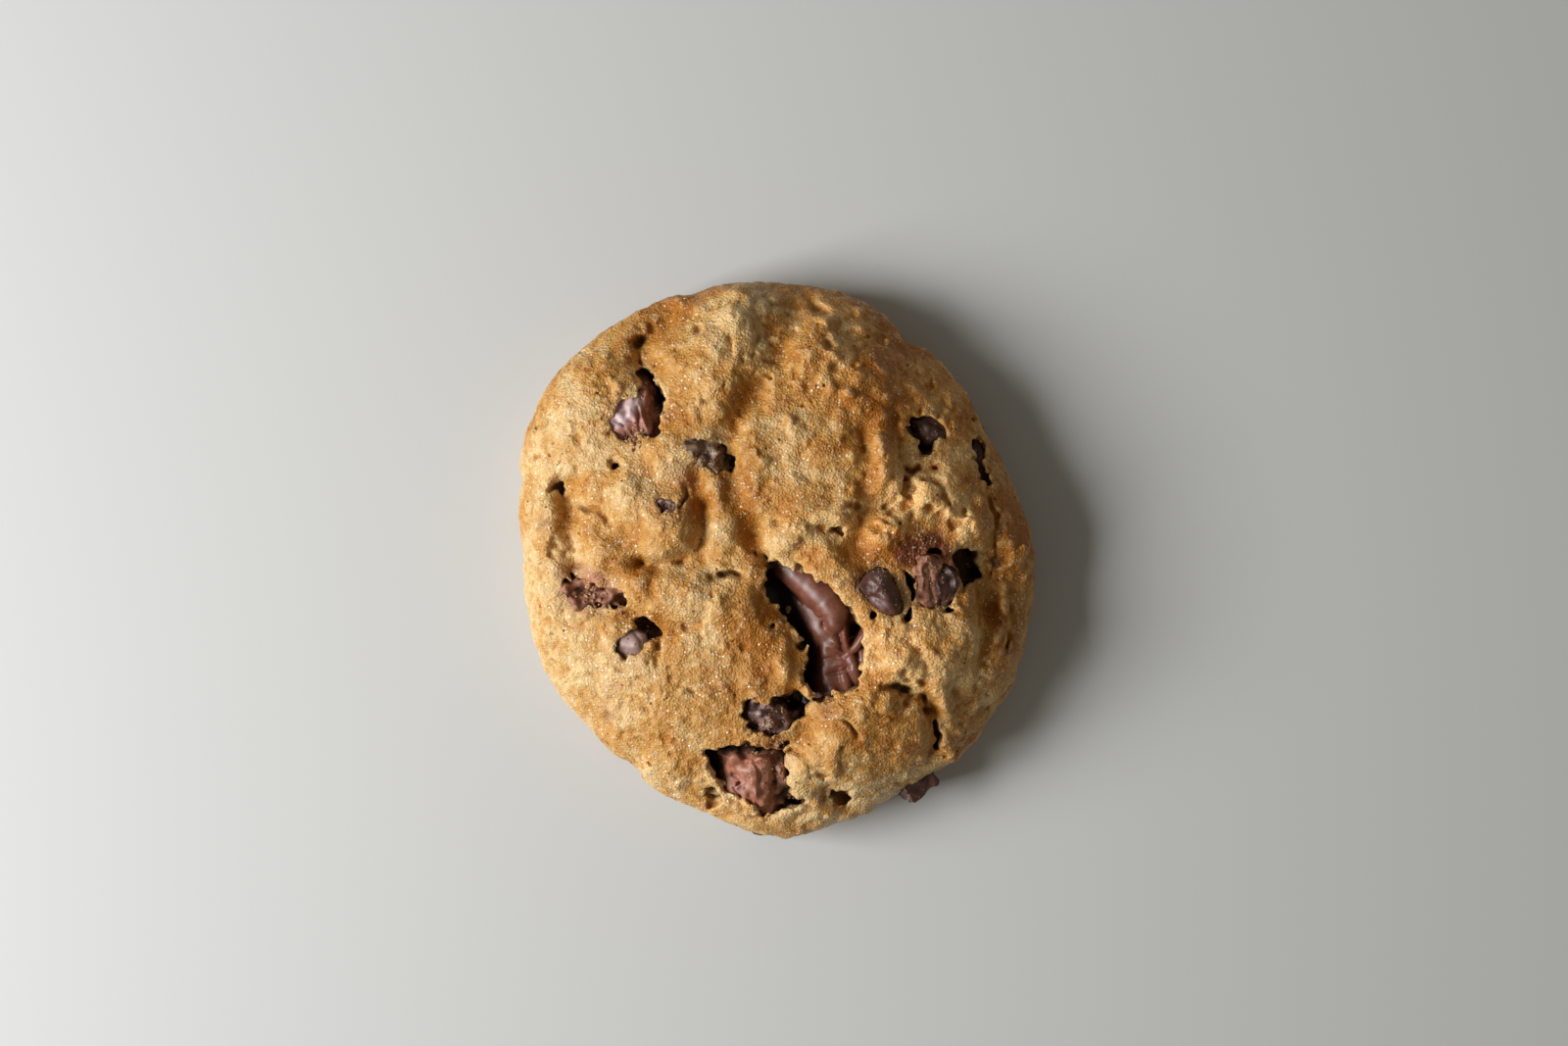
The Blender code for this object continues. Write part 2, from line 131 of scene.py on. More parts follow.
# Smaller knobs and pits of the crust: (x, y, long radius, short radius, turn, rise)
KNOBS = (
    (-24.6, 28.2, 2.0, 1.7, 0, 1.0), (-12.0, 41.5, 3.0, 1.6, 10, 0.9), (-16.2, 42.6, 2.4, 1.3, 10, 0.9),
    (-7.0, 43.5, 3.5, 1.4, 5, 0.8), (4.0, 32.0, 3.0, 2.4, 80, 0.9), (12.0, 26.0, 1.8, 1.3, -40, 0.8),
    (17.0, 26.6, 1.5, 1.3, 0, 0.8), (16.4, 23.4, 1.3, 1.1, 0, 0.7), (2.0, 22.0, 1.6, 1.5, 0, 0.6),
    (-3.6, 18.0, 4.0, 1.7, 90, 0.4), (-3.0, 11.0, 2.4, 1.7, 90, 0.4), (10.5, 33.0, 1.8, 1.5, 0, 0.6),
    (9.3, 7.8, 1.4, 1.1, 0, 0.9), (16.6, 6.4, 1.4, 1.1, 0, 0.8), (19.8, 7.8, 1.6, 1.2, 20, 0.9),
    (-8.8, -7.0, 2.0, 1.6, 90, 1.1), (-13.2, -3.8, 2.0, 1.6, 0, 0.8), (-22.0, -3.2, 2.2, 2.0, 0, 0.7),
    (-17.2, -3.0, 1.8, 1.8, 0, 0.6), (-30.2, 5.9, 2.0, 1.5, 0, 1.0), (-29.0, 11.6, 2.6, 2.0, 0, 0.8),
    (2.3, -12.8, 1.8, 1.5, 0, 0.9), (-3.8, -18.4, 2.0, 1.4, 90, 0.9), (-4.6, -7.6, 2.4, 2.0, 90, 1.0),
    (17.0, -12.0, 2.0, 1.9, 0, 0.8), (18.6, -15.6, 1.9, 1.8, 0, 0.8), (26.2, -16.0, 2.5, 2.2, 90, 0.8),
    (24.0, -11.4, 2.0, 1.7, 0, 0.7), (29.8, -11.0, 2.6, 2.4, 0, 0.8), (8.8, -32.5, 3.4, 1.0, 90, 0.8),
    (10.4, -23.2, 2.6, 1.5, 20, 0.5), (16.0, -22.0, 3.2, 1.8, 15, 0.4), (3.4, -32.2, 2.4, 1.6, 90, 0.8),
    (31.5, -5.5, 2.0, 1.8, 0, 0.9), (27.6, -30.4, 3.6, 1.6, -60, 1.0), (26.4, -21.5, 3.0, 1.2, -75, 1.0),
    (-26.0, -28.5, 3.0, 2.2, 120, 0.7), (-13.0, 17.4, 2.0, 1.4, 0, 0.7), (13.6, 38.6, 3.0, 1.6, -30, 0.6),
    (6.5, 38.8, 2.0, 1.2, 0, 0.7), (-4.0, -42.0, 7.0, 1.6, 175, 0.6), (36.8, 3.0, 6.0, 1.4, 92, 0.8),
    (-25.6, 15.5, 0.9, 0.8, 0, -1.8), (-35.0, 12.2, 1.3, 0.8, 170, -1.8), (-22.0, 35.6, 1.0, 0.8, 0, -1.6),
    (-12.4, 36.6, 0.8, 0.7, 0, -1.0), (-16.0, 33.5, 0.6, 0.5, 0, -0.8), (7.0, 40.8, 1.8, 0.8, -30, -1.8),
    (8.6, 34.4, 1.2, 0.8, -30, -1.0), (3.0, 36.0, 1.0, 0.8, 0, -0.9), (5.1, 27.0, 0.8, 0.8, 0, -0.8),
    (9.7, 30.8, 0.8, 0.7, 0, -0.8), (13.5, 17.0, 0.9, 0.7, 90, -0.8), (-9.4, -2.6, 1.2, 1.0, 0, -1.2),
    (33.5, -23.5, 1.4, 0.9, 20, -1.2), (-17.6, -27.8, 0.6, 0.5, 0, -0.8), (-13.0, -20.2, 1.0, 0.5, -30, -0.9),
    (-31.6, 19.6, 1.0, 0.8, 120, -0.8), (-38.6, 17.0, 0.8, 0.6, 0, -0.7), (-38.5, 21.4, 0.6, 0.5, 0, -0.6),
    (24.0, -23.3, 0.9, 0.7, 0, -1.2), (18.6, -19.2, 0.9, 0.7, 0, -1.4), (20.6, -19.8, 0.9, 0.7, 0, -1.4),
    (22.8, -19.1, 0.7, 0.6, 0, -1.2), (7.4, -33.7, 1.0, 0.6, -30, -0.9), (21.0, 11.4, 1.1, 0.9, 0, -1.2),
    (25.0, 15.0, 1.3, 0.7, 0, -1.2), (28.9, 6.1, 0.7, 0.6, 0, -0.8), (0.0, 6.2, 1.2, 0.6, 20, -1.0),
    (38.0, -6.5, 2.4, 0.6, 95, -0.8), (-18.5, -15.2, 2.2, 0.6, 93, -1.0), (6.9, 5.2, 0.8, 0.7, 0, -0.9),
)

# Cracks, narrower and ragged: (half width, depth, points)
CRACKS = (
    (0.7, 2.2, ((-18.0, 39.4), (-18.8, 37.6), (-22.0, 35.5), (-22.6, 33.6), (-21.8, 31.0))),
    (0.5, 1.8, ((-9.0, -2.0), (-7.0, -2.0), (-5.0, -2.4))),
    (0.6, 1.8, ((-21.5, 0.4), (-18.5, -0.4), (-14.6, 0.2))),
    (0.6, 1.5, ((-31.8, 8.9), (-29.2, 8.3), (-27.5, 7.3), (-26.0, 6.2))),
    (0.6, 1.2, ((16.5, -19.6), (18.0, -19.6), (20.0, -19.9))),
    (0.5, 1.4, ((22.8, -21.0), (24.0, -23.4), (24.8, -25.0))),
    (0.5, 1.2, ((32.4, -3.4), (32.0, -7.0), (31.2, -11.0))),
    (0.4, 1.0, ((37.6, -2.0), (38.0, -8.0), (37.2, -14.0))),
    (0.4, 1.0, ((34.5, 10.0), (35.2, 3.0), (34.6, -2.0))),
    (0.5, 1.4, ((20.0, 14.8), (21.6, 14.4), (23.6, 14.8))),
    (0.5, 1.0, ((-14.5, -9.8), (-13.0, -10.2))),
    (0.6, 1.4, ((-36.8, 11.6), (-35.0, 12.2), (-33.8, 11.6))),
    (0.5, 1.4, ((4.0, -30.0), (2.6, -29.6), (1.5, -30.5))),
    (0.4, 1.0, ((10.0, -24.6), (11.6, -25.6), (13.0, -27.4))),
    (0.4, 1.0, ((-14.4, 12.4), (-13.8, 10.6), (-14.6, 8.8))),
)

# ---------------------------------------------------------------- fields
STEP = 0.29
GRID_LOW = (-44.5, -47.5, -1.2)
GRID_HIGH = (44.5, 47.5, 27.6)


class Grid:
    """Points on a regular lattice, in mm."""

    def __init__(self, low, high, step):
        self.low = np.array(low, np.float32)
        self.step = step
        counts = [int(math.ceil((b - a) / step)) + 1 for a, b in zip(low, high)]
        self.axes = [(low[k] + step * np.arange(counts[k])).astype(np.float32) for k in range(3)]
        self.shape = tuple(counts)
        self.x = self.axes[0][:, None, None]
        self.y = self.axes[1][None, :, None]
        self.z = self.axes[2][None, None, :]


def spline_weights(places, period, phase, count):
    """A matrix that spreads values on a coarse lattice over the places by a cubic B-spline."""
    u = (places - places[0]) / period + phase
    first = np.floor(u).astype(int)
    t = (u - first).astype(np.float32)
    weights = np.zeros((len(places), count), np.float32)
    rows = np.arange(len(places))
    parts = ((1 - t) ** 3 / 6, (3 * t ** 3 - 6 * t ** 2 + 4) / 6,
             (-3 * t ** 3 + 3 * t ** 2 + 3 * t + 1) / 6, t ** 3 / 6)
    for k, part in enumerate(parts):
        weights[rows, first + k] += part
    return weights


def noise(axes, period, seed):
    """Smooth random numbers about 0 with a spread of about 1, over a grid of 2 or 3 axes."""
    rng = np.random.default_rng(seed)
    periods = period if isinstance(period, tuple) else (period,) * len(axes)
    counts = [int((a[-1] - a[0]) / p) + 6 for a, p in zip(axes, periods)]
    phases = rng.random(len(axes))
    values = rng.standard_normal(counts, dtype=np.float32)
    spread = [spline_weights(a, p, ph, n) for a, p, ph, n in zip(axes, periods, phases, counts)]
    values = np.tensordot(spread[0], values, (1, 0))
    values = np.matmul(spread[1], values.reshape(len(axes[0]), counts[1], -1))
    if len(axes) == 2:
        return values[..., 0] / 0.479
    return np.matmul(values, spread[2].T) / 0.3316


def smooth_min(a, b, k):
    """The lower of two fields, rounded where they cross."""
    h = np.clip(0.5 + 0.5 * (b - a) / k, 0.0, 1.0)
    return b + (a - b) * h - k * h * (1 - h)


def smooth_max(a, b, k):
    return -smooth_min(-a, -b, k)


def smooth_step(low, high, value):
    t = np.clip((value - low) / (high - low), 0.0, 1.0)
    return t * t * (3 - 2 * t)


def rim_radius(angle, notched=1.0):
    """The outline's radius: a smooth closed curve through RIM_RADII, less the notches."""
    radii = np.array(RIM_RADII)
    place = (angle % (2 * np.pi)) / (2 * np.pi) * len(radii)
    first = np.floor(place).astype(int)
    u = place - first
    p0, p1, p2, p3 = (radii[(first + k) % len(radii)] for k in (-1, 0, 1, 2))
    radius = 0.5 * (2 * p1 + (p2 - p0) * u + (2 * p0 - 5 * p1 + 4 * p2 - p3) * u ** 2
                    + (3 * p1 - p0 - 3 * p2 + p3) * u ** 3)
    for direction, half_width, depth in RIM_NOTCHES:
        off = (np.degrees(angle) - direction + 180) % 360 - 180
        radius = radius - notched * depth * np.exp(-(off / half_width) ** 2)
    return radius


def rim_share(x, y):
    """How far out towards the rim each point of the plan is. The notches fade towards the middle."""
    out = np.hypot(x, y)
    return out / rim_radius(np.arctan2(y, x), np.clip(out / 42, 0, 1) ** 8)


def path_distance(x, y, path):
    """Distance in plan to a run of straight stretches, and the share of the way along it."""
    points = np.array(path, np.float32)
    steps = np.diff(points, axis=0)
    lengths = np.hypot(steps[:, 0], steps[:, 1])
    total = lengths.sum()
    best = np.full(x.shape, 1e9, np.float32)
    along = np.zeros(x.shape, np.float32)
    done = 0.0
    for (px, py), (sx, sy), length in zip(points, steps, lengths):
        share = np.clip(((x - px) * sx + (y - py) * sy) / length ** 2, 0, 1)
        away = np.hypot(x - px - share * sx, y - py - share * sy)
        nearer = away < best
        best = np.where(nearer, away, best)
        along = np.where(nearer, (done + share * length) / total, along)
        done += length
    return best, along


def inside_distance(x, y, outline):
    """Distance in plan to a closed outline, positive inside it."""
    points = np.array(outline, np.float32)
    best = np.full(x.shape, 1e9, np.float32)
    inside = np.zeros(x.shape, bool)
    for (ax, ay), (bx, by) in zip(points, np.roll(points, -1, axis=0)):
        sx, sy = bx - ax, by - ay
        share = np.clip(((x - ax) * sx + (y - ay) * sy) / (sx * sx + sy * sy), 0, 1)
        best = np.minimum(best, np.hypot(x - ax - share * sx, y - ay - share * sy))
        crosses = (ay > y) != (by > y)
        with np.errstate(divide="ignore", invalid="ignore"):
            inside ^= crosses & (x < sx * (y - ay) / sy + ax)
    return np.where(inside, best, -best)


def mounds(x, y, table, fullness):
    """The sum of a table's oval rises. A higher fullness gives flatter tops and steeper sides."""
    rise = np.zeros(np.broadcast(x, y).shape, np.float32)
    for cx, cy, long_radius, short_radius, turn, height in table:
        a = math.radians(turn)
        along = (x - cx) * math.cos(a) + (y - cy) * math.sin(a)
        across = (y - cy) * math.cos(a) - (x - cx) * math.sin(a)
        rise += height * np.exp(-((along / long_radius) ** 2 + (across / short_radius) ** 2) ** fullness)
    return rise


def relief(x, y):
    rise = mounds(x, y, LUMPS, 1.3)
    for half_width, depth, path in VALLEYS:
        away, _ = path_distance(x, y, path)
        rise -= depth * np.exp(-(away / half_width) ** 2)
    return rise


def dome_height(x, y, lumpy=1.0):
    """Height of the top over points of the plan, with this share of its relief."""
    share = np.minimum(0.999, rim_share(x, y))
    a = np.arcsin(share ** (DOME_FULLNESS / 2))
    return WAIST + (CROWN - WAIST) * np.cos(a) ** (2 / DOME_SHOULDER) + lumpy * relief(x, y)


def dome_field(grid):
    """The smooth domed body."""
    x, y = grid.x[..., 0], grid.y[..., 0]
    share = rim_share(x, y).astype(np.float32)
    z = grid.axes[2]
    up = np.clip((z - WAIST) / (CROWN - WAIST), 0, None) ** DOME_SHOULDER
    down = np.clip(1 - z / WAIST, 0, 1)
    narrow = 1 - (1 - FOOT_SHARE) * (1 - np.sqrt(1 - down ** 2))
    g = (share[..., None] / narrow) ** DOME_FULLNESS + up - 1
    slopes = np.gradient(g, grid.step)
    steep = np.sqrt(slopes[0] ** 2 + slopes[1] ** 2 + slopes[2] ** 2)
    return -g / np.maximum(steep, 0.02)


# ---------------------------------------------------------------- meshes from fields
EDGES = [(a, b) for a in range(8) for b in range(8) if a < b and bin(a ^ b).count("1") == 1]


def surface_net(field, grid):
    """Points and four-sided faces of the surface where the field is 0, facing out of the inside."""
    inside = field > 0
    nx, ny, nz = (n - 1 for n in field.shape)
    count = np.zeros((nx, ny, nz), np.uint8)
    for c in range(8):
        a, b, d = c & 1, c >> 1 & 1, c >> 2 & 1
        count += inside[a:nx + a, b:ny + b, d:nz + d]
    cells = np.flatnonzero((count > 0) & (count < 8))
    i, j, k = np.unravel_index(cells, count.shape)
    number = np.full(count.size, -1, np.int32)
    number[cells] = np.arange(len(cells), dtype=np.int32)
    number = number.reshape(count.shape)
    corner = [field[i + (c & 1), j + (c >> 1 & 1), k + (c >> 2 & 1)] for c in range(8)]
    total = np.zeros((len(cells), 3), np.float32)
    crossings = np.zeros(len(cells), np.float32)
    for a, b in EDGES:
        crossed = (corner[a] > 0) != (corner[b] > 0)
        with np.errstate(divide="ignore", invalid="ignore"):
            t = np.where(crossed, corner[a] / (corner[a] - corner[b]), 0)
        for axis in range(3):
            from_, to = a >> axis & 1, b >> axis & 1
            total[:, axis] += crossed * (from_ + t * (to - from_))
        crossings += crossed
    points = (total / crossings[:, None] + np.stack((i, j, k), 1)) * grid.step + grid.low
    quads = []
    around = (((0, -1, -1), (0, 0, -1), (0, 0, 0), (0, -1, 0)),
              ((-1, 0, -1), (-1, 0, 0), (0, 0, 0), (0, 0, -1)),
              ((-1, -1, 0), (0, -1, 0), (0, 0, 0), (-1, 0, 0)))
    for axis in range(3):
        before = [slice(None)] * 3
        after = [slice(None)] * 3
        before[axis], after[axis] = slice(None, -1), slice(1, None)
        here = inside[tuple(before)]
        at = np.argwhere(here != inside[tuple(after)])
        other = [k for k in range(3) if k != axis]
        limits = np.array(count.shape)[other]
        at = at[np.all((at[:, other] > 0) & (at[:, other] < limits), axis=1)]
        outwards = here[at[:, 0], at[:, 1], at[:, 2]]
        ring = np.stack([number[tuple((at + np.array(s)).T)] for s in around[axis]], 1)
        quads.append(np.where(outwards[:, None], ring, ring[:, ::-1]))
    return points, np.concatenate(quads)


def mesh_of(name, points, faces, material, collection=None):
    """An object in metres from points in mm."""
    mesh = bpy.data.meshes.new(name)
    sides = faces.shape[1]
    mesh.vertices.add(len(points))
    mesh.vertices.foreach_set("co", (points * MM).astype(np.float32).ravel())
    mesh.loops.add(faces.size)
    mesh.loops.foreach_set("vertex_index", faces.astype(np.int32).ravel())
    mesh.polygons.add(len(faces))
    mesh.polygons.foreach_set("loop_start", np.arange(0, faces.size, sides, dtype=np.int32))
    mesh.polygons.foreach_set("use_smooth", np.ones(len(faces), bool))
    mesh.update(calc_edges=True)
    mesh.validate()
    if material is not None:
        mesh.materials.append(material)
    made = bpy.data.objects.new(name, mesh)
    (collection or bpy.context.scene.collection).objects.link(made)
    return made


def thinned(obj, most_triangles):
    """Merges points where the surface is flattest, until it has few enough triangles."""
    triangles = sum(len(p.vertices) - 2 for p in obj.data.polygons)
    if triangles <= most_triangles:
        return
    thin = obj.modifiers.new("thin", "DECIMATE")
    thin.ratio = most_triangles / triangles
    seen = obj.evaluated_get(bpy.context.evaluated_depsgraph_get())
    mesh = bpy.data.meshes.new_from_object(seen)
    obj.modifiers.clear()
    old, obj.data = obj.data, mesh
    mesh.name = obj.name
    bpy.data.meshes.remove(old)


def points_of(mesh):
    found = np.empty(len(mesh.vertices) * 3, np.float32)
    mesh.vertices.foreach_get("co", found)
    return found.reshape(-1, 3) / MM


def sampled(field, grid, points):
    """The field's values at free points, by straight interpolation."""
    u = (points - grid.low) / grid.step
    u = np.clip(u, 0, np.array(grid.shape) - 1.001)
    first = u.astype(int)
    t = (u - first).astype(np.float32)
    total = 0
    for c in range(8):
        a, b, d = c & 1, c >> 1 & 1, c >> 2 & 1
        weight = (t[:, 0] if a else 1 - t[:, 0]) * (t[:, 1] if b else 1 - t[:, 1])
        weight = weight * (t[:, 2] if d else 1 - t[:, 2])
        total = total + weight * field[first[:, 0] + a, first[:, 1] + b, first[:, 2] + d]
    return total


def set_attribute(mesh, name, values):
    layer = mesh.attributes.new(name, "FLOAT", "POINT")
    layer.data.foreach_set("value", np.ascontiguousarray(values, np.float32))


def slab_of(grid, low, high):
    """The part of a grid within a box: its slices, and a grid of its own."""
    cuts = []
    for axis, a, b in zip(grid.axes, low, high):
        start = max(0, int((a - axis[0]) / grid.step))
        cuts.append(slice(start, min(len(axis), int((b - axis[0]) / grid.step) + 2)))
    part = Grid.__new__(Grid)
    part.step = grid.step
    part.axes = [axis[cut] for axis, cut in zip(grid.axes, cuts)]
    part.low = np.array([axis[0] for axis in part.axes], np.float32)
    part.shape = tuple(len(axis) for axis in part.axes)
    part.x = part.axes[0][:, None, None]
    part.y = part.axes[1][None, :, None]
    part.z = part.axes[2][None, None, :]
    return tuple(cuts), part


# ---------------------------------------------------------------- chocolate in open pits
def thin_plate(controls, x, y):
    """A smooth sheet over the plan through control points (x, y, value)."""
    points = np.array(controls, float)
    px, py, value = points.T
    n = len(points)

    def kernel(r2):
        return 0.5 * r2 * np.log(r2 + 1e-9)

    system = np.zeros((n + 3, n + 3))
    system[:n, :n] = kernel((px[:, None] - px) ** 2 + (py[:, None] - py) ** 2) + 0.02 * np.eye(n)
    system[:n, n:] = np.stack((np.ones(n), px, py), 1)
    system[n:, :n] = system[:n, n:].T
    weights = np.linalg.solve(system, np.concatenate((value, np.zeros(3))))
    total = weights[n] + weights[n + 1] * x + weights[n + 2] * y
    for k in range(n):
        total = total + weights[k] * kernel((x - px[k]) ** 2 + (y - py[k]) ** 2)
    return total.astype(np.float32)


def stroke(x, y, path, half_width, rise):
    """A ridge (or with a negative rise a groove) drawn along a path, fading at its ends."""
    away, along = path_distance(x, y, path)
    ends = np.minimum(1, 4 * np.minimum(along + 0.12, 1.12 - along))
    return rise * ends * np.exp(-(away / half_width) ** 2)


def ridge_depth(x, y, ridge):
    """Depth of the top of a round ridge through points (x, y, depth, radius), falling away at its sides."""
    points = np.array(ridge)
    away, along = path_distance(x, y, points[:, :2])
    lengths = np.hypot(*np.diff(points[:, :2], axis=0).T)
    shares = np.concatenate(((0,), np.cumsum(lengths))) / lengths.sum()
    crest, radius = np.interp(along, shares, points[:, 2]), np.interp(along, shares, points[:, 3])
    inner = np.minimum(away, 0.96 * radius)
    fall = radius - np.sqrt(radius ** 2 - inner ** 2) + 4.0 * (away - inner)
    return (crest + fall).astype(np.float32)


